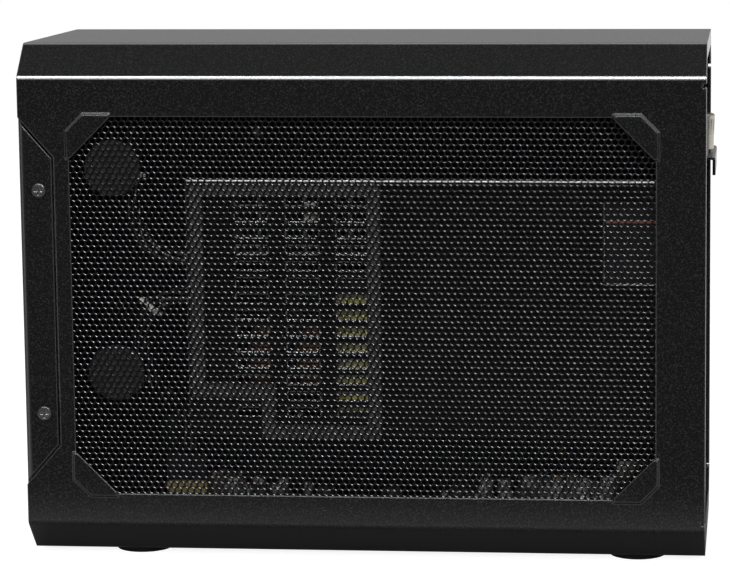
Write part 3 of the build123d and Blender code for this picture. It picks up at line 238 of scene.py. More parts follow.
def solderMask(look):
    material, tree, shader, place = startFinish("solderMask", {
        "Roughness": look["roughness"], "Coat Weight": look["lacquer"]})
    tracks = addNode(tree, "ShaderNodeTexBrick", {
        "Scale": perMm(look["block"]), "Mortar Size": look["trackShare"], "Color1": linear(look["colour"]),
        "Color2": linear(look["colour"]), "Mortar": linear(look["track"])}, {"Vector": place})
    holes = addNode(tree, "ShaderNodeTexVoronoi", {"Scale": perMm(look["holeSpacing"])}, {"Vector": place})
    ring = addNode(tree, "ShaderNodeMath", {"operation": "LESS_THAN", 1: look["holeShare"]},
                   {0: holes["Distance"]})
    colour = addNode(tree, "ShaderNodeMix", {"data_type": "RGBA", 7: linear(look["plated"])},
                     {0: ring[0], 6: tracks["Color"]})
    bump = addNode(tree, "ShaderNodeBump", {"Strength": look["strength"], "Distance": look["relief"] * mm},
                   {"Height": tracks["Fac"]})
    joinSockets(tree, shader, {"Base Color": colour[2], "Normal": bump["Normal"]})
    return material


# Moulded rubber and plastics: a spark-eroded mould leaves a fine even grain, drawn coarser than the real one
# so that it shows, and the tone drifts slightly over a large face. Rubber is dull, and a bloom lightens it in
# patches. Wire insulation is drawn through a die and has more gloss.
rubberLook = {"colour": "#121212", "drift": "#1d1d1d", "grain": 0.3, "roughness": 0.78, "gloss": 0.3}
absLook = {"colour": "#141415", "drift": "#1b1b1c", "grain": 0.35, "roughness": 0.48}
greyPlasticLook = {"colour": "#19191b", "drift": "#131315", "grain": 0.35, "roughness": 0.5}
tanNylonLook = {"colour": "#8f8158", "drift": "#7d704b", "grain": 0.4, "roughness": 0.5}
orangeNylonLook = {"colour": "#cf6a1c", "drift": "#b65a18", "grain": 0.4, "roughness": 0.45}
whiteNylonLook = {"colour": "#f1efe8", "drift": "#dedbd1", "grain": 0.4, "roughness": 0.45}
pvcLook = {"colour": "#121213", "drift": "#1e1e1f", "grain": 0.8, "roughness": 0.17, "gloss": 1.0}
epoxyLook = {"colour": "#17181a", "drift": "#232427", "grain": 0.2, "roughness": 0.6}
ceramicLook = {"colour": "#a9835a", "drift": "#8f6c48", "grain": 0.5, "roughness": 0.5}
orangePvcLook = {"colour": "#9a5f49", "drift": "#854c39", "grain": 0.8, "roughness": 0.35}
glueLook = {"colour": "#e2dfd3", "drift": "#cfcbbd", "grain": 1.5, "roughness": 0.5}
ferriteLook = {"colour": "#29292b", "drift": "#39393b", "grain": 0.25, "roughness": 0.62}
rubberMould = {"patch": 6.0, "detail": 4.0, "relief": (0.3, 0.05)}
plasticMould = {"patch": 9.0, "detail": 3.0, "relief": (0.25, 0.03), "gloss": 0.45}


def moulded(name, look, mould=plasticMould):
    material, tree, shader, place = startFinish(name, {
        "Roughness": look["roughness"], "Specular IOR Level": look.get("gloss", plasticMould["gloss"])})
    drift = addNode(tree, "ShaderNodeTexNoise", {"Scale": perMm(mould["patch"]), "Detail": mould["detail"]},
                    {"Vector": place})["Fac"]
    scale = perMm(look["grain"])
    grain = addNode(tree, "ShaderNodeTexNoise", {"Scale": scale, "Detail": 1.0}, {"Vector": place})["Fac"]
    endFinish(tree, shader, look["colour"], look["drift"], drift, mould["relief"], {"Height": grain})
    return material


# Polyester tape round a winding: glossy film whose lapped edges show as faint lines, about 25 mm apart.
tapeLook = {"colour": "#ece6a0", "lap": "#cdc678", "wave": 80.0, "waver": 1.5, "relief": (0.4, 0.1),
            "roughness": 0.35, "film": 0.4}


def polyesterTape(look):
    material, tree, shader, place = startFinish("polyesterTape", {
        "Roughness": look["roughness"], "Coat Weight": look["film"]})
    laps = addNode(tree, "ShaderNodeTexWave", {
        "bands_direction": "Z", "Scale": perMm(look["wave"]), "Distortion": look["waver"]},
        {"Vector": place})["Fac"]
    endFinish(tree, shader, look["lap"], look["colour"], laps, look["relief"], {"Height": laps})
    return material


# Enamelled copper wire wound on a ring: strands run across the ring, so they fan out round its axis.
copperLook = {"colour": "#edb38c", "gap": "#7d4a30", "strands": 44, "wave": (-0.9, 0.2), "relief": (0.8, 0.3),
              "roughness": 0.32, "metallic": 0.75}


def enamelledCopper(look):
    low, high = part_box("psu_chokes")
    middle = (low + high) / 2
    material, tree, shader, place = startFinish("enamelledCopper", {
        "Metallic": look["metallic"], "Roughness": look["roughness"]})
    moved = addNode(tree, "ShaderNodeVectorMath", {"operation": "SUBTRACT", 1: (0.0, middle.y, middle.z)},
                    {0: place})
    axes = addNode(tree, "ShaderNodeSeparateXYZ", {}, {"Vector": moved["Vector"]})
    angle = addNode(tree, "ShaderNodeMath", {"operation": "ARCTAN2"}, {0: axes["Z"], 1: axes["Y"]})
    turns = addNode(tree, "ShaderNodeMath", {"operation": "MULTIPLY", 1: look["strands"]}, {0: angle[0]})
    wave = addNode(tree, "ShaderNodeMath", {"operation": "SINE"}, {0: turns[0]})[0]
    start, stop = look["wave"]
    share = addNode(tree, "ShaderNodeMapRange", {"From Min": start, "From Max": stop},
                    {"Value": wave})["Result"]
    endFinish(tree, shader, look["gap"], look["colour"], share, look["relief"], {"Height": wave})
    return material


powderSteel = powderCoat("powderCoatedSteel", powderLook)
meshSteel = powderCoat("thinCoatedPiercedSheet", meshLook)
satinSteel = powderCoat("satinEnamelledSteel", enamelLook)
polishedLip = powderCoat("polishedRolledLip", lipLook)
dullPlate = powderCoat("dullBlackPlate", plateLook)
rubber = moulded("mouldedRubber", rubberLook, rubberMould)
gasketFoam = openFoam("greyGasketFoam", gasketLook)
bumperFoam = openFoam("blackBumperFoam", bumperLook)
nickel = drawnMetal("nickelPlate", nickelLook)
tin = drawnMetal("tinnedEnds", tinLook)
zinc = drawnMetal("zincPlatedSteel", zincLook)
aluminium = drawnMetal("millFinishAluminium", millLook)
anodised = drawnMetal("blackAnodisedAluminium", anodisedLook)
blackOxide = drawnMetal("blackOxideSteel", oxideLook)
boardMask = solderMask(maskLook)
blackPlastic = moulded("mouldedBlackAbs", absLook)
greyPlastic = moulded("mouldedGreyPbt", greyPlasticLook)
tanNylon = moulded("tanNylon", tanNylonLook)
orangeNylon = moulded("orangeNylon", orangeNylonLook)
whiteNylon = moulded("whiteNylon", whiteNylonLook)
pvc = moulded("blackPvcInsulation", pvcLook)
epoxy = moulded("chipEpoxy", epoxyLook)
ceramic = moulded("chipCeramic", ceramicLook)
orangePvc = moulded("orangePvcInsulation", orangePvcLook)
glue = moulded("whiteSiliconeGlue", glueLook)
ferrite = moulded("groundFerrite", ferriteLook)
tape = polyesterTape(tapeLook)
copper = enamelledCopper(copperLook)

finishOfNodes = {
    powderSteel: ["outer_sleeve", "front_panel", "rear_panel", "base_tray"],
    meshSteel: ["power_side_grille", "card_side_grille"],
    dullPlate: ["mid_plate"],
    blackOxide: ["case_screws"],
    rubber: ["foot_front_near", "foot_front_far", "foot_rear_near", "foot_rear_far", "lead_grommet"],
    satinSteel: ["psu_case", "psu_cover"],
    nickel: ["bracket_thumbscrew", "psu_screws", "board_screws", "mains_pins", "usb_stack_1", "usb_stack_2",
             "host_port", "video_port_1", "video_port_2", "video_port_3", "video_port_4"],
    zinc: ["card_bracket"],
    boardMask: ["main_board", "card_board", "psu_board"],
    blackPlastic: ["mains_inlet", "card_slot", "card_shroud", "card_fan_frame", "card_fan_rotor",
                   "psu_fan_rotor", "board_power_plug", "card_power_socket", "card_power_plug"],
    greyPlastic: ["psu_fan_frame"],
    epoxy: ["link_chip", "gpu_package"],
    tanNylon: ["board_power_socket"],
    orangeNylon: ["usb_tongues_1", "usb_tongues_2"],
    pvc: ["board_power_lead", "card_power_lead"],
    tape: ["transformer_winding"],
    ferrite: ["transformer_core", "board_coils"],
    copper: ["psu_chokes"],
    aluminium: ["psu_capacitors", "psu_heatsink", "board_standoffs", "board_cans", "card_heatsink"],
    anodised: ["link_heatsink"],
}
for finish, nodes in finishOfNodes.items():
    for node in nodes:
        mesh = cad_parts[node].data
        mesh.materials.clear()
        mesh.materials.append(finish)
print("finishes on the CAD nodes:", sum(len(nodes) for nodes in finishOfNodes.values()))


def addPiece(name, vertices, faces, materials, body, kinds=None, smooth=0):
    # A mesh at the origin that rides on a body. kinds gives each face the number of its material, and as many
    # faces as smooth says, from the first, are shaded round.
    mesh = bpy.data.meshes.new(name)
    mesh.from_pydata(np.asarray(vertices).tolist(), [], faces)
    for material in materials:
        mesh.materials.append(material)
    if kinds is not None:
        mesh.polygons.foreach_set("material_index", np.asarray(kinds, dtype=np.int32))
    mesh.polygons.foreach_set("use_smooth", np.arange(len(faces)) < smooth)
    mesh.update()
    piece = bpy.data.objects.new(name, mesh)
    bpy.context.scene.collection.objects.link(piece)
    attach(piece, body)
    return piece


def boxMm(node):  # low and high corner of a CAD node in millimetres
    return np.array(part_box(node)) / mm


def evenTurn(count):  # angles once round, without the last
    return np.arange(count) * 2 * math.pi / count


def ringFaces(count, steps, sides, closed=False, turned=False):
    # Quads between neighbouring rings of points, for several surfaces at once. A closed surface joins its
    # last ring to its first, an open one has a flat cap on each. Turned swaps inside and outside.
    gaps = steps if closed else steps - 1
    item, step, side = np.meshgrid(np.arange(count), np.arange(gaps), np.arange(sides), indexing="ij")
    here = (item * steps + step) * sides
    after = (item * steps + (step + 1) % steps) * sides
    following = (side + 1) % sides
    walls = np.stack([here + side, here + following, after + following, after + side], -1).reshape(-1, 4)
    first = np.arange(0 if closed else count)[:, None] * steps * sides
    caps = np.concatenate([first + np.arange(sides)[::-1], first + (steps - 1) * sides + np.arange(sides)])
    if turned:
        walls, caps = walls[:, [0, 3, 2, 1]], caps[:, ::-1]
    return walls.tolist(), caps.tolist()


def boxFaces(low, high):
    # Boxes from their low and high corners, n at once: eight corners and six outward quads each.
    corner = np.array([(0, 0, 0), (1, 0, 0), (1, 1, 0), (0, 1, 0), (0, 0, 1), (1, 0, 1), (1, 1, 1),
                       (0, 1, 1)])
    quad = np.array([(0, 3, 2, 1), (4, 5, 6, 7), (0, 1, 5, 4), (1, 2, 6, 5), (2, 3, 7, 6), (3, 0, 4, 7)])
    vertices = (low[:, None] + corner * (high - low)[:, None]).reshape(-1, 3)
    faces = (quad + len(corner) * np.arange(len(low))[:, None, None]).reshape(-1, 4)
    return vertices, faces


# Perforated side sheets: six-sided holes in staggered rows at their true pitch.
meshSheet = {"pitch": 2.04, "web": 0.45, "rowShift": 0.21, "lip": 0.11, "lipDepth": 0.08,
             "pressedDepth": 0.025, "overlap": 3.5, "windowCorner": 13.3, "edgeReach": 0.9, "rowMargin": 1.16,
             "pads": ["grille_bumper_lower", "grille_bumper_upper"], "padded": "power_side_grille"}


def honeycombSheet(name, node, outward):
    # Cells stand on a staggered grid. Corner k of a cell is at 30 + 60k degrees, edge k lies between corners
    # k and k + 1. A web is the strip between facing edges of two cells, a knot the triangle between three.
    # Cells past the window are closed. Each open cell has a small sloping lip in the v of its two lower
    # edges, which catches the light as a rolled edge does. Where a foam pad presses from behind, lips are
    # nearly level.
    low, high = boxMm(node)
    middle = (low + high) / 2
    pitch = meshSheet["pitch"]
    rise = pitch * math.sqrt(3) / 2
    columns = int((high[0] - low[0]) / pitch - 0.5)
    rows = int((high[2] - low[2] - pitch * meshSheet["rowMargin"]) / rise)
    cell = np.arange(rows * columns)
    row, column = np.divmod(cell, columns)
    odd = row % 2
    centreX = middle[0] + (column - (columns - 1) / 2 + odd / 2 - 0.25) * pitch
    centreZ = middle[2] + (row - (rows - 1) / 2) * rise + meshSheet["rowShift"]
    corner = np.radians(30 + 60 * np.arange(6))
    radius = (pitch - meshSheet["web"]) / 2 / math.cos(math.pi / 6)
    outerY, innerY = (high[1], low[1]) if outward > 0 else (low[1], high[1])

    def ring(reach, y):  # six corners round every cell
        x = centreX[:, None] + reach * np.cos(corner)
        z = centreZ[:, None] + reach * np.sin(corner)
        return np.stack([x, np.full_like(x, y), z], 2)

    def at(cells, k, side):  # vertex numbers of corner k, side 0 outer, side 1 inner
        return cells * 12 + side * 6 + k % 6

    stepRow = np.array([1, 1, 0, -1, -1, 0])
    stepColumn = np.array([0, -1, -1, -1, 0, 1])
    nextRow = row[:, None] + stepRow
    nextColumn = column[:, None] + stepColumn + odd[:, None] * (stepRow != 0)
    inside = (nextRow >= 0) & (nextRow < rows) & (nextColumn >= 0) & (nextColumn < columns)
    neighbour = np.where(inside, nextRow * columns + nextColumn, -1)

    half = (high - low) / 2 - meshSheet["overlap"] + meshSheet["edgeReach"]
    offX, offZ = np.abs(centreX - middle[0]), np.abs(centreZ - middle[2])
    cut = half[0] + half[2] - meshSheet["windowCorner"]
    pierced = (offX < half[0]) & (offZ < half[2]) & (offX + offZ < cut) & inside.all(1)
    foot = 4  # the lowest corner of a cell
    outer = ring(radius, outerY)
    outer[:, foot, 2] -= meshSheet["lip"] / math.cos(math.pi / 6)
    lips = ring(radius, outerY - outward * meshSheet["lipDepth"])[pierced, foot]
    for pad in meshSheet["pads"] if node == meshSheet["padded"] else []:
        a, b = boxMm(pad)
        off = np.hypot(centreX - (a[0] + b[0]) / 2, centreZ - (a[2] + b[2]) / 2)[pierced]
        lips[off < (b[0] - a[0]) / 2, 1] = outerY - outward * meshSheet["pressedDepth"]
    vertices = np.concatenate([np.concatenate([outer, ring(radius, innerY)], 1).reshape(-1, 3), lips]) * mm
    hole, lip = cell[pierced], len(cell) * 12 + np.arange(len(lips))

    quads = []
    knots = []
    for k in range(6):  # walls of the holes and of the sheet's own rim
        start = lip if k == foot else at(hole, k, 0)
        stop = lip if k + 1 == foot else at(hole, k + 1, 0)
        quads.append(np.stack([start, stop, at(hole, k + 1, 1), at(hole, k, 1)], 1))
        rim = cell[~inside[:, k]]
        quads.append(np.stack([at(rim, k, 0), at(rim, k, 1), at(rim, k + 1, 1), at(rim, k + 1, 0)], 1))
    for k in (5, 0, 1):  # webs, front and back, and their ends on the rim
        here = cell[inside[:, k]]
        there = neighbour[here, k]
        front = [at(here, k, 0), at(there, k + 4, 0), at(there, k + 3, 0), at(here, k + 1, 0)]
        back = [at(here, k + 1, 1), at(there, k + 3, 1), at(there, k + 4, 1), at(here, k, 1)]
        quads += [np.stack(front, 1), np.stack(back, 1)]
        loose = ~inside[here, (k + 1) % 6]
        a, b = here[loose], there[loose]
        quads.append(np.stack([at(a, k + 1, 0), at(b, k + 3, 0), at(b, k + 3, 1), at(a, k + 1, 1)], 1))
        loose = ~inside[here, (k - 1) % 6]
        a, b = here[loose], there[loose]
        quads.append(np.stack([at(b, k + 4, 0), at(a, k, 0), at(a, k, 1), at(b, k + 4, 1)], 1))
    for k in (0, 1):
        here = cell[inside[:, (k - 1) % 6] & inside[:, k]]
        right, left = neighbour[here, (k - 1) % 6], neighbour[here, k]
        knots.append(np.stack([at(here, k, 0), at(right, k + 2, 0), at(left, k + 4, 0)], 1))
        knots.append(np.stack([at(left, k + 4, 1), at(right, k + 2, 1), at(here, k, 1)], 1))
    shut = cell[~pierced]
    plates = [np.stack([at(shut, k, 0) for k in range(6)], 1),
              np.stack([at(shut, 5 - k, 1) for k in range(6)], 1)]
    lipFaces = [np.stack([at(hole, k, 0), at(hole, k + 1, 0), lip], 1) for k in (foot - 1, foot)]
    turn = -1 if outward > 0 else 1
    faces = [face for part in quads + knots + plates + lipFaces for face in part[:, ::turn].tolist()]
    kinds = np.arange(len(faces)) >= len(faces) - 2 * len(hole)
    sheet = addPiece(name, vertices, faces, [meshSteel, polishedLip], "enclosure", kinds)
    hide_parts(node)
    print(name, "holes:", len(hole), "faces:", len(faces))


honeycombSheet("powerSideMesh", "power_side_grille", -1)
honeycombSheet("cardSideMesh", "card_side_grille", 1)

# Foam: two round pads stuck behind the near sheet and a frame round the supply's vents. Die-cut foam is flat
# where it is stuck and crowned where it is free, its cut edges are soft and its sides waver a little.
foamPads = {"lowerFoamPad": "grille_bumper_lower", "upperFoamPad": "grille_bumper_upper"}
foamCut = {"stuckPower": 12.0, "freePower": 5.0, "sides": 72, "steps": 24, "rim": 88, "waver": 0.02,
           "waves": (5, 11), "fill": 0.9}
foamFrame = {"node": "psu_vent_gasket", "width": 4.7, "step": (22.0, 13.0), "perSide": 16, "shift": 1.2,
             "topGap": 1.1}


def foamSection(angle):
    # Superellipse, across to the power p plus depth to the power p is 1: p is high on the stuck side, low on
    # the free one.
    power = np.where(np.sin(angle) > 0, foamCut["freePower"], foamCut["stuckPower"])
    across = np.sign(np.cos(angle)) * np.abs(np.cos(angle)) ** (2 / power)
    depth = np.sign(np.sin(angle)) * np.abs(np.sin(angle)) ** (2 / power)
    return across, depth


def foamWaver(turn):  # share by which a cut edge draws in: two slow waves, never outwards
    slow, quick = foamCut["waves"]
    return foamCut["waver"] * (2 + np.sin(slow * turn) + np.sin(quick * turn)) / 4


def foamPiece(name, vertices, faces, finish, node):
    piece = addPiece(name, vertices * mm, faces, [finish], "enclosure", smooth=len(faces))
    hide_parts(node)


def roundPad(name, node):
    # Half of the section turned round the pad's axis, with its reach wavering round the rim.
    low, high = boxMm(node)
    middle, half = (low + high) / 2, (high - low) / 2
    across, depth = foamSection(np.radians(np.linspace(-foamCut["rim"], foamCut["rim"], foamCut["steps"])))
    turn = evenTurn(foamCut["sides"])
    reach = across[:, None] * (1 - foamWaver(turn))
    x = middle[0] + half[0] * reach * np.cos(turn)
    z = middle[2] + half[2] * reach * np.sin(turn)
    y = np.broadcast_to(middle[1] + half[1] * depth[:, None], x.shape)
    walls, caps = ringFaces(1, foamCut["steps"], foamCut["sides"], turned=True)
    foamPiece(name, np.stack([x, y, z], -1).reshape(-1, 3), walls + caps, bumperFoam, node)


def ventFrame():
    # The section carried round a closed outline with one stepped corner. A point of the section lies between
    # the outer and the inner outline by its share across, so the corners are mitred.
    low, high = boxMm(foamFrame["node"]) + (foamFrame["shift"], 0, 0)
    high[2] -= foamFrame["topGap"]  # below the bend of the cover
    stepX, stepZ = low[0] + foamFrame["step"][0], low[2] + foamFrame["step"][1]
    outer = np.array([(low[0], stepZ), (stepX, stepZ), (stepX, low[2]), (high[0], low[2]), (high[0], high[2]),
                      (low[0], high[2])])
    inward = np.array([(1, 1), (1, 1), (1, 1), (-1, 1), (-1, -1), (1, -1)]) * foamFrame["width"]
    share = np.arange(foamFrame["perSide"])[:, None] / foamFrame["perSide"]

    def along(corners):  # even points on every side of an outline
        return (corners[:, None] + share * (np.roll(corners, -1, 0) - corners)[:, None]).reshape(-1, 2)

    path, reach = along(outer), along(inward)
    pull = 2 * foamWaver(evenTurn(len(path)))
    across, depth = foamSection(evenTurn(foamCut["steps"]))
    flat = path[:, None] + reach[:, None] * (0.5 + 0.5 * across * (1 - pull[:, None]))[:, :, None]
    y = np.broadcast_to((low[1] + high[1]) / 2 - (high[1] - low[1]) / 2 * depth, flat.shape[:2])
    walls, caps = ringFaces(1, len(path), foamCut["steps"], closed=True)
    vertices = np.stack([flat[..., 0], y, flat[..., 1]], -1).reshape(-1, 3)
    foamPiece("ventFoamFrame", vertices, walls + caps, gasketFoam, foamFrame["node"])


for name, node in foamPads.items():
    roundPad(name, node)
ventFrame()
print("foam pieces:", len(foamPads) + 1)

# The main board's small parts keep clear of the large ones and of the screws, set in from the board's ends.
largeParts = ["card_slot", "link_heatsink", "board_coils", "board_cans", "board_power_socket", "usb_stack_1",
              "usb_stack_2", "host_port"]
boardScrews = {"front": 6.0, "rear": 26.0, "aside": 31.0}


def scatter(random, field, spanX, spanY, nodes):
    # A jittered grid of places on the board, less a random share and those near a large part or a screw.
    low, high = boxMm("main_board")
    grid = np.meshgrid(np.arange(*spanX, field["spacing"][0]), np.arange(*spanY, field["spacing"][1]))
    place = np.stack([part.ravel() for part in grid], 1)
    place += random.uniform(-field["jitter"], field["jitter"], place.shape)
    free = random.uniform(size=len(place)) < field["kept"]
    for node in nodes:
        a, b = boxMm(node)[:, :2]
        free &= ~((place > a - field["margin"]) & (place < b + field["margin"])).all(1)
    screws = np.array([(x, y) for x in (low[0] + boardScrews["front"], high[0] - boardScrews["rear"])
                       for y in (-boardScrews["aside"], boardScrews["aside"])])
    free &= (np.linalg.norm(place[:, None] - screws, axis=2) > field["screwReach"]).all(1)
    return place[free]


# Small surface-mount parts all over the main board: a body with a tinned cap at each end.
chipField = {"spacing": (3.0, 2.5), "jitter": 0.45, "kept": 0.8, "inset": 3.0, "margin": 2.0,
             "screwReach": 4.5, "seed": 7, "shares": [0.25, 0.4, 0.25, 0.1],
             "sizes": [(1.0, 0.5, 0.5), (1.6, 0.8, 0.8), (2.0, 1.25, 1.0), (3.2, 1.6, 1.5)],
             "turned": 0.4, "dark": 0.45, "bare": 0.3, "capGrowth": 0.03}


def boardChips():
    # Bodies stand on scattered places. The caps are boxes over the outer fifths of each length.
    random = np.random.default_rng(chipField["seed"])
    low, high = boxMm("main_board")
    inset, bare, growth = chipField["inset"], chipField["bare"], chipField["capGrowth"]
    place = scatter(random, chipField, (low[0] + inset, high[0] - inset), (low[1] + inset, high[1] - inset),
                    largeParts)
    kind = random.choice(len(chipField["sizes"]), len(place), p=chipField["shares"])
    size = np.array(chipField["sizes"])[kind]
    turned = random.uniform(size=len(place)) < chipField["turned"]
    along = np.where(turned[:, None], (0, 1), (1, 0))
    across = along[:, ::-1]
    dark = random.uniform(size=len(place)) < chipField["dark"]

    def section(start, stop, grow):  # the part of every body between two shares of its length
        middle = place + along * ((start + stop) / 2 * size[:, :1])
        half = along * ((stop - start) / 2 * size[:, :1]) + across * (size[:, 1:2] / 2 + grow)
        top = high[2] + size[:, 2:] + grow
        return np.hstack([middle - half, np.full_like(top, high[2])]), np.hstack([middle + half, top])

    sections = [section(-bare, bare, 0.0), section(-0.5, -bare, growth), section(bare, 0.5, growth)]
    lows, highs = (np.concatenate(part) for part in zip(*sections))
    vertices, faces = boxFaces(lows, highs)
    kinds = np.repeat(np.concatenate([dark.astype(int), np.full(2 * len(place), 2)]), 6)
    addPiece("boardChips", vertices * mm, faces.tolist(), [ceramic, epoxy, tin], "enclosure",
             kinds)
    print("board chips:", len(place))


boardChips()

# Small round capacitors near the edge of the board: bare cans with a rolled top.
canField = {"spacing": (8.0, 7.0), "jitter": 1.8, "kept": 0.75, "inset": 8.0, "depth": (-37.0, -6.0),
            "margin": 3.2, "screwReach": 6.5, "seed": 11, "sides": 14, "radius": (1.6, 2.6),
            "height": (5.2, 8.5), "profile": [(0.0, 1.0), (0.86, 1.0), (0.95, 0.96), (1.0, 0.82)]}


def boardCapacitors():
    # Each can is its profile, radius over height, turned round an upright axis. The top is a flat cap.
    random = np.random.default_rng(canField["seed"])
    low, high = boxMm("main_board")
    place = scatter(random, canField, (low[0] + canField["inset"], high[0] - canField["inset"]),
                    canField["depth"], largeParts + ["board_power_lead"])
    radius = random.uniform(*canField["radius"], len(place))[:, None, None]
    height = random.uniform(*canField["height"], len(place))[:, None, None]
    rise, girth = np.array(canField["profile"]).T[:, :, None]
    angle = evenTurn(canField["sides"])
    x = place[:, 0, None, None] + radius * girth * np.cos(angle)
    y = place[:, 1, None, None] + radius * girth * np.sin(angle)
    z = np.broadcast_to(high[2] + height * rise, x.shape)
    walls, caps = ringFaces(*x.shape)
    addPiece("boardCapacitors", np.stack([x, y, z], -1).reshape(-1, 3) * mm, walls + caps, [tin], "enclosure",
             smooth=len(walls))
    print("board capacitors:", len(place))


boardCapacitors()

# Leads: black wires in a loose bundle along the CAD route. Points are those of the CAD leads, in millimetres.
leads = {
    "cardPowerWires": {"node": "card_power_lead", "route": [
        (-57.7, -22.05, 93), (-68.7, -22.05, 93), (-76.7, -20.05, 102), (-78.2, -15.05, 117),
        (-78.06, -9.03, 144.6), (-70.76, -0.23, 151.2), (-63.46, 8.57, 144.6), (-63.46, 8.57, 131)]},
    "boardPowerWires": {"node": "board_power_lead", "route": [
        (-57.7, -22.05, 81), (-67.7, -22.05, 81), (-74.7, -23.05, 73), (-74.7, -23.55, 60),
        (-70.1, -21.5, 50), (-61.1, -18, 41.5), (-61.1, -18, 29)]},
}
wire = {"count": 6, "radius": 0.85, "spread": 2.0, "turns": 1.5, "sides": 8, "lean": (0.577, -0.577, 0.577)}


def routePoints(route):  # even points along the NURBS curve of a route
    curve = bpy.data.curves.new("route", "CURVE")
    curve.dimensions = "3D"
    curve.resolution_u = 12
    spline = curve.splines.new("NURBS")
    spline.points.add(len(route) - 1)
    spline.points.foreach_set("co", np.hstack([np.array(route) * mm, np.ones((len(route), 1))]).ravel())
    spline.order_u = 3
    spline.use_endpoint_u = True
    holder = bpy.data.objects.new("route", curve)
    mesh = bpy.data.meshes.new_from_object(holder)
    points = np.empty(len(mesh.vertices) * 3)
    mesh.vertices.foreach_get("co", points)
    bpy.data.meshes.remove(mesh)
    bpy.data.curves.remove(curve)
    return points.reshape(-1, 3)


def tubes(paths, sideways, upward, radius, sides):
    # Tubes round several paths at once: a ring of points, in the plane of sideways and upward, at each point.
    angle = evenTurn(sides)[:, None]
    ring = sideways[:, :, None] * np.cos(angle) + upward[:, :, None] * np.sin(angle)
    walls, caps = ringFaces(*paths.shape[:2], sides)
    return (paths[:, :, None] + radius * ring).reshape(-1, 3), walls + caps


def unit(vectors):  # the same directions with length 1
    return vectors / np.linalg.norm(vectors, axis=-1, keepdims=True)


def wireBundle(name, lead):
    # Strands keep their distance from the route and turn slowly round it.
    path = routePoints(lead["route"])
    tangent = unit(np.gradient(path, axis=0))
    sideways = unit(np.cross(tangent, np.array(wire["lean"])))
    upward = np.cross(tangent, sideways)
    share = np.linspace(0, 1, len(path))
    turn = np.arange(wire["count"])[:, None] / wire["count"] + wire["turns"] * share
    angle = turn[:, :, None] * 2 * math.pi
    strands = path + wire["spread"] * mm * (np.cos(angle) * sideways + np.sin(angle) * upward)
    vertices, faces = tubes(strands, np.broadcast_to(sideways, strands.shape),
                            np.broadcast_to(upward, strands.shape), wire["radius"] * mm, wire["sides"])
    piece = addPiece(name, vertices, faces, [pvc], "enclosure", smooth=len(faces))
    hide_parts(lead["node"])


for name, lead in leads.items():
    wireBundle(name, lead)
print("leads wound from", wire["count"], "wires each")

# Cable ties: a flat nylon band round each bundle, with a square head and a cut tail.
ties = {"reach": 3.0, "thick": 0.7, "width": 1.2, "sides": 28, "head": (2.0, 2.2, 1.7), "tail": 2.8,
        "tailOverlap": 1.0, "tailWidth": 0.9, "places": [("cardPowerWires", 0.41), ("boardPowerWires", 0.2)]}


def cableTies():
    # A band is a flat rectangle carried once round a circle in the plane across the lead. Head and tail are
    # boxes set along the circle's own directions at the near side.
    vertices = []
    faces = []

    def gather(points, quads):  # one more closed form in the same mesh
        start = sum(len(part) for part in vertices)
        vertices.append(points)
        faces.extend((np.array(quads) + start).tolist())

    for name, share in ties["places"]:
        path = routePoints(leads[name]["route"]) / mm
        here = int(share * (len(path) - 1))
        along = unit(path[here + 1] - path[here - 1])
        near = np.array((0.0, -1.0, 0.0))
        near = unit(near - along * near.dot(along))
        aside = np.cross(along, near)
        angle = evenTurn(ties["sides"])[:, None]
        spoke = near * np.cos(angle) + aside * np.sin(angle)
        section = np.array([(0, -1), (1, -1), (1, 1), (0, 1)]) * (ties["thick"], ties["width"] / 2)
        band = path[here] + spoke[:, None] * (ties["reach"] + section[:, :1]) + along * section[:, 1:]
        gather(band.reshape(-1, 3), ringFaces(1, ties["sides"], len(section), closed=True, turned=True)[0])
        head = np.array(ties["head"])
        tail = np.array((ties["thick"], ties["tail"] + ties["tailOverlap"], ties["tailWidth"]))
        middle = path[here] + near * (ties["reach"] + head[0] / 2)
        for centre, size in ((middle, head), (middle + aside * ties["tail"], tail)):
            corners, quads = boxFaces(-size[None] / 2, size[None] / 2)
            gather(centre + corners @ np.stack([near, aside, along]), quads)
    addPiece("cableTies", np.concatenate(vertices) * mm, faces, [whiteNylon], "enclosure")
    print("cable ties:", len(ties["places"]))


cableTies()

# The supply fan's own lead: three thin orange wires side by side on its frame, seen through the opening.
fanRibbon = {"z": 107.5, "radius": 0.2, "count": 3, "steps": 12, "sides": 8}


def fanWires():
    # Straight tubes along the fan frame's near face, one radius off it, a diameter apart.
    low, high = boxMm("psu_fan_frame")
    radius = fanRibbon["radius"]
    z = fanRibbon["z"] + (np.arange(fanRibbon["count"]) - (fanRibbon["count"] - 1) / 2) * 2 * radius
    x = np.linspace(low[0], high[0], fanRibbon["steps"])
    paths = np.stack(np.broadcast_arrays(x, low[1] - radius, z[:, None]), -1) * mm
    sideways = np.broadcast_to((0.0, 1.0, 0.0), paths.shape)
    upward = np.broadcast_to((0.0, 0.0, 1.0), paths.shape)
    vertices, faces = tubes(paths, sideways, upward, radius * mm, fanRibbon["sides"])
    addPiece("fanWires", vertices, faces, [orangePvc], "enclosure")
    print("fan wires:", fanRibbon["count"])


fanWires()

# White glue in the power supply, which holds tall parts: soft lumps on the heatsink and the case floor.
glueSpots = {"steps": 10, "sides": 16, "pole": 8, "swell": 0.12, "waves": (3, 2), "lumps": [
    ((-18.4, -34.6, 109.2), (2.5, 1.6, 3.7)), ((-24.2, -22.0, 41.0), (2.6, 2.4, 2.2)),
    ((-10.4, -9.4, 106.0), (1.4, 1.6, 2.2))]}


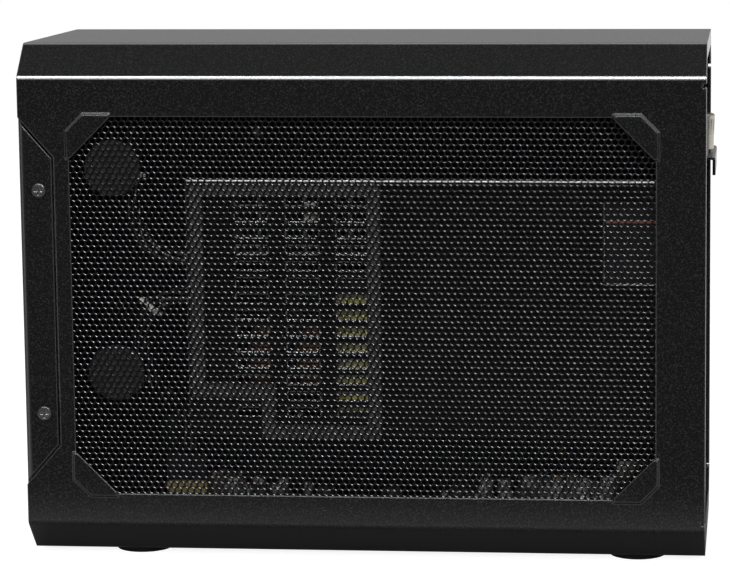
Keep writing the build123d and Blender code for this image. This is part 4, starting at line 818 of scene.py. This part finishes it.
def supplyGlue():
    # Ellipsoids from pole to pole and once round, each swollen by a product of two slow waves.
    centre, radii = (np.array(part)[:, None, None] for part in zip(*glueSpots["lumps"]))
    pole, waves = glueSpots["pole"], glueSpots["waves"]
    polar = np.radians(np.linspace(pole, 180 - pole, glueSpots["steps"]))[:, None]
    turn = evenTurn(glueSpots["sides"])
    swell = 1 + glueSpots["swell"] * np.sin(waves[0] * polar) * np.cos(waves[1] * turn)
    x, y = np.sin(polar) * np.cos(turn), np.sin(polar) * np.sin(turn)
    points = centre + radii * np.stack(np.broadcast_arrays(x, y, np.cos(polar)), -1) * swell[..., None]
    walls, caps = ringFaces(*points.shape[:3], turned=True)
    faces = walls + caps
    addPiece("supplyGlue", points.reshape(-1, 3) * mm, faces, [glue], "enclosure",
             smooth=len(faces))
    print("glue lumps:", len(points))


supplyGlue()

# A pan-head screw in the partition, above the power supply.
plateScrew = {"place": (-37.6, 132.4), "radius": 2.0, "height": 1.5, "rim": 0.35, "fall": 4, "hub": 0.06,
              "cross": 0.32, "crossReach": 0.62, "depth": 0.6, "rings": 12, "sides": 48}


def partitionScrew():
    # A dome over radius and angle: its height falls to the rim with the fourth power of the radius, less a
    # cross-shaped recess. The last ring is the rim again, on the plate.
    face = boxMm("mid_plate")[0, 1]
    rim = plateScrew["rim"]
    reach = np.linspace(plateScrew["hub"], 1, plateScrew["rings"])[:, None]
    turn = evenTurn(plateScrew["sides"])
    x, z = reach * np.cos(turn), reach * np.sin(turn)
    recess = (np.minimum(np.abs(x), np.abs(z)) < plateScrew["cross"] / 2) & (reach < plateScrew["crossReach"])
    dome = plateScrew["height"] * (rim + (1 - rim) * (1 - reach ** plateScrew["fall"]))
    rise = np.concatenate([dome - plateScrew["depth"] * recess, np.zeros((1, plateScrew["sides"]))])
    x, z = (np.concatenate([part, part[-1:]]) * plateScrew["radius"] for part in (x, z))
    points = np.stack([plateScrew["place"][0] + x, face - rise, plateScrew["place"][1] + z], -1)
    walls, caps = ringFaces(1, *points.shape[:2], turned=True)
    addPiece("partitionScrew", points.reshape(-1, 3) * mm, walls + caps, [zinc], "enclosure")
    print("partition screw set")


partitionScrew()

# Studio: a white surround and white paper on the floor. The object is lit by a plain ambient level and lamps.
studio = {"ambient": 0.3, "room": 0.25, "backdrop": 0.38, "backdropDepth": (-0.75, -0.15), "paper": "#9c9c9c",
          "paperRoughness": 0.9, "paperGlow": 0.9, "paperHalf": 6.0, "paperFront": -0.12, "shadowReach": 0.03}


def whiteRays(tree):  # 1 for camera, glossy and transmission rays, which all see the white background
    path = addNode(tree, "ShaderNodeLightPath", {}, {})
    mirror = addNode(tree, "ShaderNodeMath", {"operation": "MAXIMUM"},
                     {0: path["Is Glossy Ray"], 1: path["Is Transmission Ray"]})
    shown = addNode(tree, "ShaderNodeMath", {"operation": "MAXIMUM"},
                    {0: path["Is Camera Ray"], 1: mirror[0]})
    return shown[0]


def makeWorld():
    # White where it shows, and a plain ambient level for the light it gives. Gloss sees a paler backdrop
    # behind and above the object, and the dim room where the camera stands.
    world = bpy.data.worlds.new("whiteSurround")
    bpy.context.scene.world = world
    world.use_nodes = True
    tree = world.node_tree
    tree.nodes.clear()
    place = addNode(tree, "ShaderNodeTexCoord", {}, {})
    path = addNode(tree, "ShaderNodeLightPath", {}, {})
    axes = addNode(tree, "ShaderNodeSeparateXYZ", {}, {"Vector": place["Generated"]})
    start, stop = studio["backdropDepth"]
    backdrop = addNode(tree, "ShaderNodeMapRange", {
        "From Min": start, "From Max": stop, "To Min": studio["room"], "To Max": studio["backdrop"]},
        {"Value": axes["Y"]})
    lit = addNode(tree, "ShaderNodeMix", {2: 1.0}, {0: path["Is Glossy Ray"], 3: backdrop["Result"]})
    level = addNode(tree, "ShaderNodeMix", {2: studio["ambient"]}, {0: whiteRays(tree), 3: lit[0]})
    surround = addNode(tree, "ShaderNodeBackground", {"Color": (1, 1, 1, 1)}, {"Strength": level[0]})
    addNode(tree, "ShaderNodeOutputWorld", {}, {"Surface": surround[0]})


def makeFloor():
    # Paper that keeps the shadow, lifted to white where it shows. Beside the object only the camera sees the
    # lift. For gloss the glow is left out there, a painted shadow that keeps the lower edges dark.
    half, front = studio["paperHalf"], studio["paperFront"]
    corners = [(-half, front, 0), (half, front, 0), (half, half, 0), (-half, half, 0)]
    mesh = bpy.data.meshes.new("floor")
    mesh.from_pydata(corners, [], [(0, 1, 2, 3)])
    material, tree, shader, place = startFinish("floorPaper", {
        "Roughness": studio["paperRoughness"], "Specular IOR Level": 0.0,
        "Base Color": linear(studio["paper"])})
    axes = addNode(tree, "ShaderNodeSeparateXYZ", {}, {"Vector": place})
    middle, reach = (cadLow + cadHigh) / 2, (cadHigh - cadLow) / 2
    outside = []
    for axis in (0, 1):  # distance outside the object's outline on the floor, along x and along y
        off = addNode(tree, "ShaderNodeMath", {"operation": "SUBTRACT", 1: middle[axis]}, {0: axes[axis]})
        away = addNode(tree, "ShaderNodeMath", {"operation": "ABSOLUTE"}, {0: off[0]})
        past = addNode(tree, "ShaderNodeMath", {"operation": "SUBTRACT", 1: reach[axis]}, {0: away[0]})
        outside.append(past[0])
    furthest = addNode(tree, "ShaderNodeMath", {"operation": "MAXIMUM"}, {0: outside[0], 1: outside[1]})
    # Painted shadow in reflections: within shadowReach of the object's outline the glow fades out for all but
    # camera rays.
    clear = addNode(tree, "ShaderNodeMapRange", {"From Min": 0.0, "From Max": studio["shadowReach"]},
                    {"Value": furthest[0]})
    path = addNode(tree, "ShaderNodeLightPath", {}, {})
    seen = addNode(tree, "ShaderNodeMath", {"operation": "MAXIMUM"},
                   {0: path["Is Camera Ray"], 1: clear["Result"]})
    white = addNode(tree, "ShaderNodeMath", {"operation": "MULTIPLY"}, {0: whiteRays(tree), 1: seen[0]})
    level = addNode(tree, "ShaderNodeMath", {"operation": "MULTIPLY", 1: studio["paperGlow"]}, {0: white[0]})
    glow = addNode(tree, "ShaderNodeEmission", {"Color": (1, 1, 1, 1)}, {"Strength": level[0]})
    both = addNode(tree, "ShaderNodeAddShader", {}, {0: shader.outputs[0], 1: glow[0]})
    joinSockets(tree, tree.nodes["Material Output"], {"Surface": both[0]})
    mesh.materials.append(material)
    floor = bpy.data.objects.new("floor", mesh)
    bpy.context.scene.collection.objects.link(floor)


# Lamps: soft lights in front and behind, a low fill that gloss doesn't see, so that flat faces stay black,
# and a long card that only gloss sees, which draws the folds and the lips of the holes.
lamps = {
    "keyLight": {"azimuth": 10, "elevation": 42, "size": (1.6, 0.9), "power": 11.0,
                 "shows": ("diffuse", "glossy")},
    "frontFill": {"azimuth": -6, "elevation": 16, "size": (1.6, 0.3), "power": 13.0, "shows": ("diffuse",)},
    "backFill": {"azimuth": 200, "elevation": 55, "size": (1.6, 0.9), "power": 8.0,
                 "shows": ("diffuse", "glossy")},
    "edgeCard": {"azimuth": 6, "elevation": 54, "size": (3.0, 0.4), "power": 58.0, "shows": ("glossy",)},
}
lampDistance = 1.6  # in metres, as the lamps' sizes


def makeLamps():
    target = (cadLow + cadHigh) / 2
    for name, lamp in lamps.items():
        light = bpy.data.lights.new(name, "AREA")
        light.shape = "RECTANGLE"
        light.size, light.size_y = lamp["size"]
        light.energy = lamp["power"]
        turn, rise = math.radians(lamp["azimuth"]), math.radians(lamp["elevation"])
        away = Vector((math.sin(turn) * math.cos(rise), -math.cos(turn) * math.cos(rise), math.sin(rise)))
        holder = bpy.data.objects.new(name, light)
        holder.location = target + away * lampDistance
        holder.rotation_euler = (-away).to_track_quat("-Z", "Y").to_euler()
        holder.visible_diffuse = "diffuse" in lamp["shows"]
        holder.visible_glossy = "glossy" in lamp["shows"]
        bpy.context.scene.collection.objects.link(holder)


# Camera: before the power supply side, a little above and to the right. Angles are in radians.
viewpoint = {"place": (119.2, -931.9, 217.4), "yaw": 0.0882, "pitch": 0.136, "roll": -0.0057, "lens": 144.5,
             "shift": (-0.18, -0.03)}


def makeCamera():
    yaw, pitch, roll = viewpoint["yaw"], viewpoint["pitch"], viewpoint["roll"]
    forward = Vector((-math.sin(yaw) * math.cos(pitch), math.cos(yaw) * math.cos(pitch), -math.sin(pitch)))
    right = Vector((math.cos(yaw), math.sin(yaw), 0))
    up = right.cross(forward)
    across = right * math.cos(roll) + up * math.sin(roll)
    upright = up * math.cos(roll) - right * math.sin(roll)
    data = bpy.data.cameras.new("camera")
    data.lens = viewpoint["lens"]
    data.shift_x, data.shift_y = viewpoint["shift"]
    camera = bpy.data.objects.new("camera", data)
    pose = Matrix((across, upright, -forward)).transposed().to_4x4()
    pose.translation = Vector(viewpoint["place"]) * mm
    camera.matrix_world = pose
    bpy.context.scene.collection.objects.link(camera)
    bpy.context.scene.camera = camera


makeWorld()
makeFloor()
makeLamps()
makeCamera()
bpy.context.scene.view_settings.view_transform = "Standard"
print("studio and camera ready")
